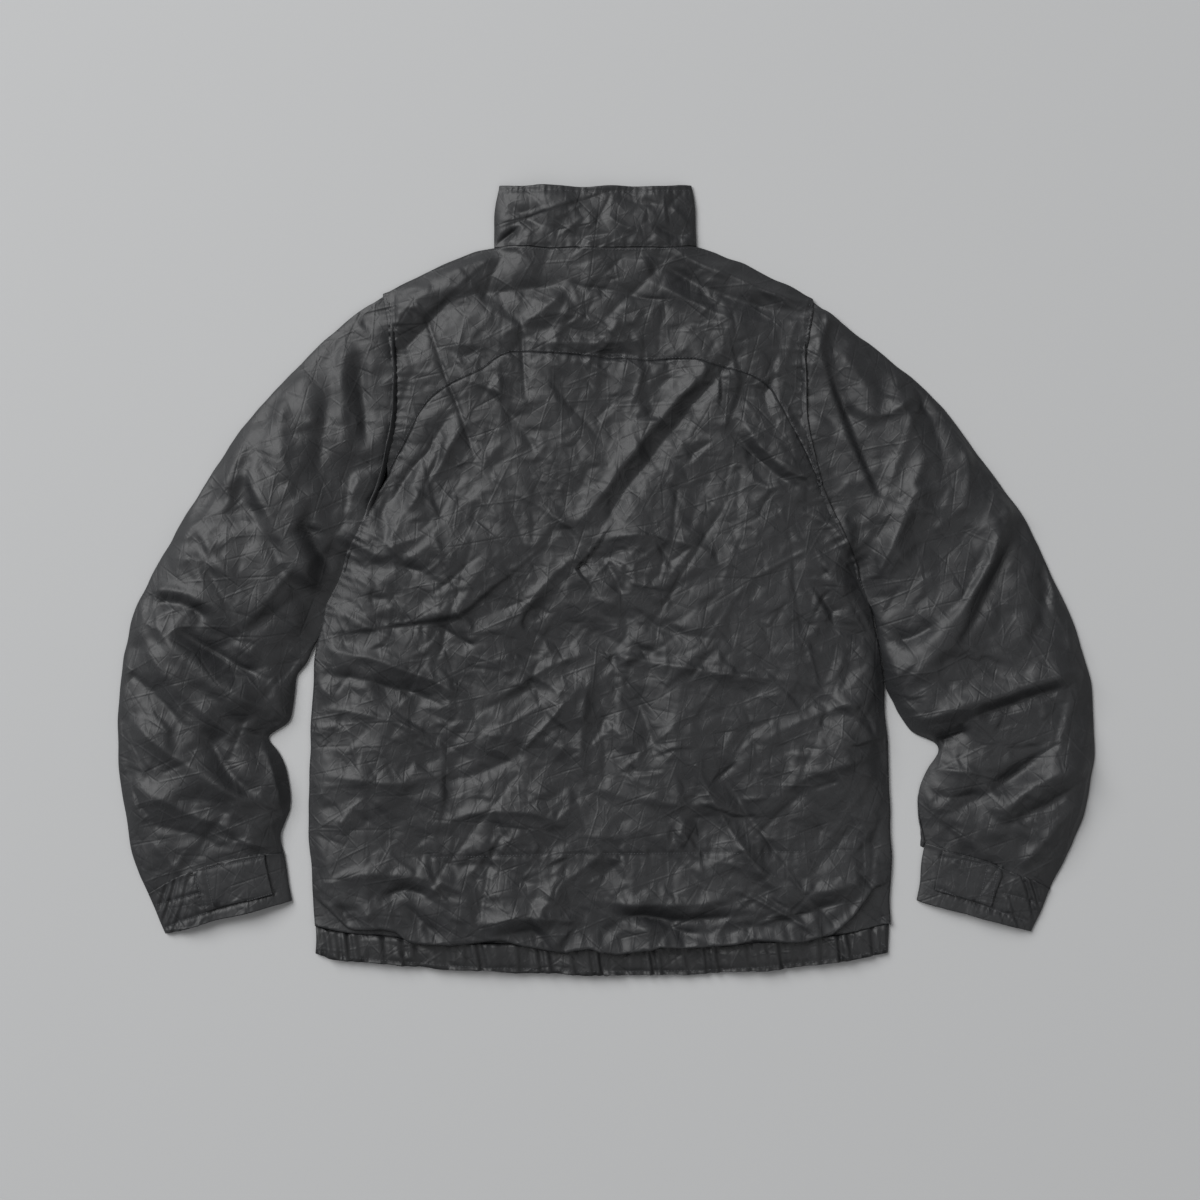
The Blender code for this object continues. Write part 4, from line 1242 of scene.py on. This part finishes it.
# Sewn lines on the cuffs: tab edges, box stitch, casing of the elastic and lower edge
cuffLines = {
    "left": (
        ((-409, -286), (-400, -324)),
        ((-398, -285), (-390, -326)),
        ((-452, -325), (-423, -316), (-403, -310)),
        ((-441, -347), (-423, -339), (-390, -328), (-331, -311)),
        ((-396, -286), (-341, -275)),
    ),
    "right": (
        ((390, -286), (382, -323)),
        ((379, -284), (371, -320)),
        ((395, -311), (435, -322)),
        ((330, -307), (370, -322), (418, -339)),
        ((334, -275), (378, -283)),
    ),
}
hem = {
    "levels": 2,
    "cutEvery": 7.0,
    "stitchDown": 24.3,
    "gatherRise": 4.4,
    "gatherPitch": 15.0,
    "gatherLean": 0.15,
    "sway": (6, 47),  # the gathers sway by the first, over the length of the second
    "crumple": 0.55,
    # painted shade: the hem band's nylon is made darker for the shadow cast on it by the cloth that bulges
    # over it
    "brightness": 0.72,
}
collar = {"crumple": 0.75, "seamUp": 1.5, "stitchUp": 57.0, "stitchNarrow": 0.955}


def asLine(rows):
    return np.array([(x, y, 0) for x, y in rows]) * mm


def addCuffs():
    for side, towards in (("left", 1), ("right", -1)):
        node = side + "_cuff"
        lines = [asLine(rows) for rows in cuffLines[side]]
        points, faces, upward = denseTube(node, ((1, None), (-1, None)), bands["levels"])
        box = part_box(node)
        share = (points[:, 0] - box[0].x) / (box[1].x - box[0].x)
        outer = 1 - share if side == "left" else share
        gathers = cuffs["gatherLeast"] + ramp(outer, *cuffs["elastic"])
        across = points[:, 0] - cuffs["gatherLean"] * towards * points[:, 1]
        ridges = (wavy(across, cuffs["gatherPitch"], seed=3) - 0.5) * cuffs["gatherRise"] * gathers
        room = ramp(points[:, 2] / mm, *bands["still"]) * upward
        points = crumpled(points, upward, (), cuffs["crumple"])
        points[:, 2] += ridges * room * mm
        gap, _, _ = distanceTo(points, seams[side + "Cuff"])
        rise, reach = cuffs["rim"]
        points[:, 2] += rise * np.exp(-((gap / (reach * mm)) ** 2)) * upward * mm
        for line in lines:
            points = puckered(points, line, "cuff", seed=51)
        cuff = addPiece(side + "Cuff", points, faces, nylonFinish(side + "CuffNylon"), node, bands["wall"])
        tab = addCuffTab(side, lines)
        addStitches(side + "CuffStitches", lines, (cuff, tab), pitch=2.4)
    print("cuffs made")


def addCuffTab(side, lines):
    node = side + "_cuff_tab"
    points, faces, _ = denseTube(node, ((1, None),), cuffs["tabLevels"])
    points = crumpled(points, 1.0, (), cuffs["tabCrumple"])
    for line in lines:
        points = puckered(points, line, "cuffTab", seed=51)
    finish = nylonFinish(side + "TabNylon", 1.05)
    return addPiece(side + "CuffTab", points, faces, finish, node, cuffs["tabWall"])


def addHemBand():
    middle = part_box("hem_band")[0].y / mm + 22
    seeds = ((1, None), (-1, (-150, middle)), (-1, (130, middle)))
    points, faces, upward = denseTube("hem_band", seeds, hem["levels"], hem["cutEvery"])
    sway, swayLength = hem["sway"]
    across = points[:, 0] + sway * mm * np.sin(points[:, 0] / (swayLength * mm))
    ridges = wavy(across + hem["gatherLean"] * points[:, 1], hem["gatherPitch"], seed=12) - 0.5
    room = ramp(points[:, 2] / mm, *bands["still"]) * upward
    points = crumpled(points, upward, (), hem["crumple"])
    points[:, 2] += ridges * hem["gatherRise"] * room * mm
    seam = seams["hem"] - np.array([0, hem["stitchDown"], 0]) * mm
    points = puckered(points, seam, "hem", seed=61)
    # The hem band's darker nylon is painted shade, for the shadow under the bulging cloth.
    finish = nylonFinish("hemNylonPaintedShade", hem["brightness"])
    piece = addPiece("hemBand", points, faces, finish, "hem_band", bands["wall"])
    addStitches("hemStitches", [seam], (piece,), pitch=3.2)
    print("hem band made")


def addCollar():
    seeds = ((1, None), (-1, (-90, 320)), (-1, (70, 320)))
    points, faces, upward = denseTube("collar", seeds, bands["levels"])
    points = crumpled(points, upward, collarFolds, collar["crumple"])
    points = puckered(points, seams["neck"] + np.array([0, collar["seamUp"], 0]) * mm, "neck", seed=40)
    middle = seams["neck"][:, 0].mean()
    top = seams["neck"] + np.array([0, collar["stitchUp"], 0]) * mm
    top[:, 0] = middle + (top[:, 0] - middle) * collar["stitchNarrow"]
    points = puckered(points, top, "collarTop", seed=41)
    piece = addPiece("collar.cloth", points, faces, nylonFinish("collarNylon"), "collar", bands["wall"])
    addStitches("collarStitches", [top], (piece,), pitch=3.0)
    print("collar made")


# The zip's metal and its woven tape


def zipFinishes():
    metal = Finish("blackZinc", {"Metallic": 0.9, "Roughness": 0.36})
    scratches = {"Vector": place(metal), "Scale": 900.0, "Detail": 3.0}
    wear = metal.add("ShaderNodeTexNoise", {}, scratches)
    stops = {"stops": [(0.35, (0.03, 0.03, 0.033, 1)), (0.8, (0.10, 0.10, 0.11, 1))]}
    metal.output("Base Color", metal.add("ShaderNodeValToRGB", stops, {"Fac": wear}))
    tape = Finish("wovenTape", {"Roughness": 0.8})
    rows = {"Vector": place(tape), "Scale": 300.0, "Distortion": 0.3}
    weave = tape.add("ShaderNodeTexWave", {"bands_direction": "Y"}, rows)
    stops = {"stops": [(0.2, (0.012, 0.012, 0.013, 1)), (0.9, (0.028, 0.028, 0.030, 1))]}
    tape.output("Base Color", tape.add("ShaderNodeValToRGB", stops, {"Fac": weave}))
    for node, finish in (("zip_tape", tape), ("slider", metal), ("pull_tab", metal)):
        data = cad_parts[node].data
        data.materials.clear()
        data.materials.append(finish.material)


setUpStudio()
addBack()
addFronts()
addSleeves()
addCuffs()
addHemBand()
addCollar()
zipFinishes()
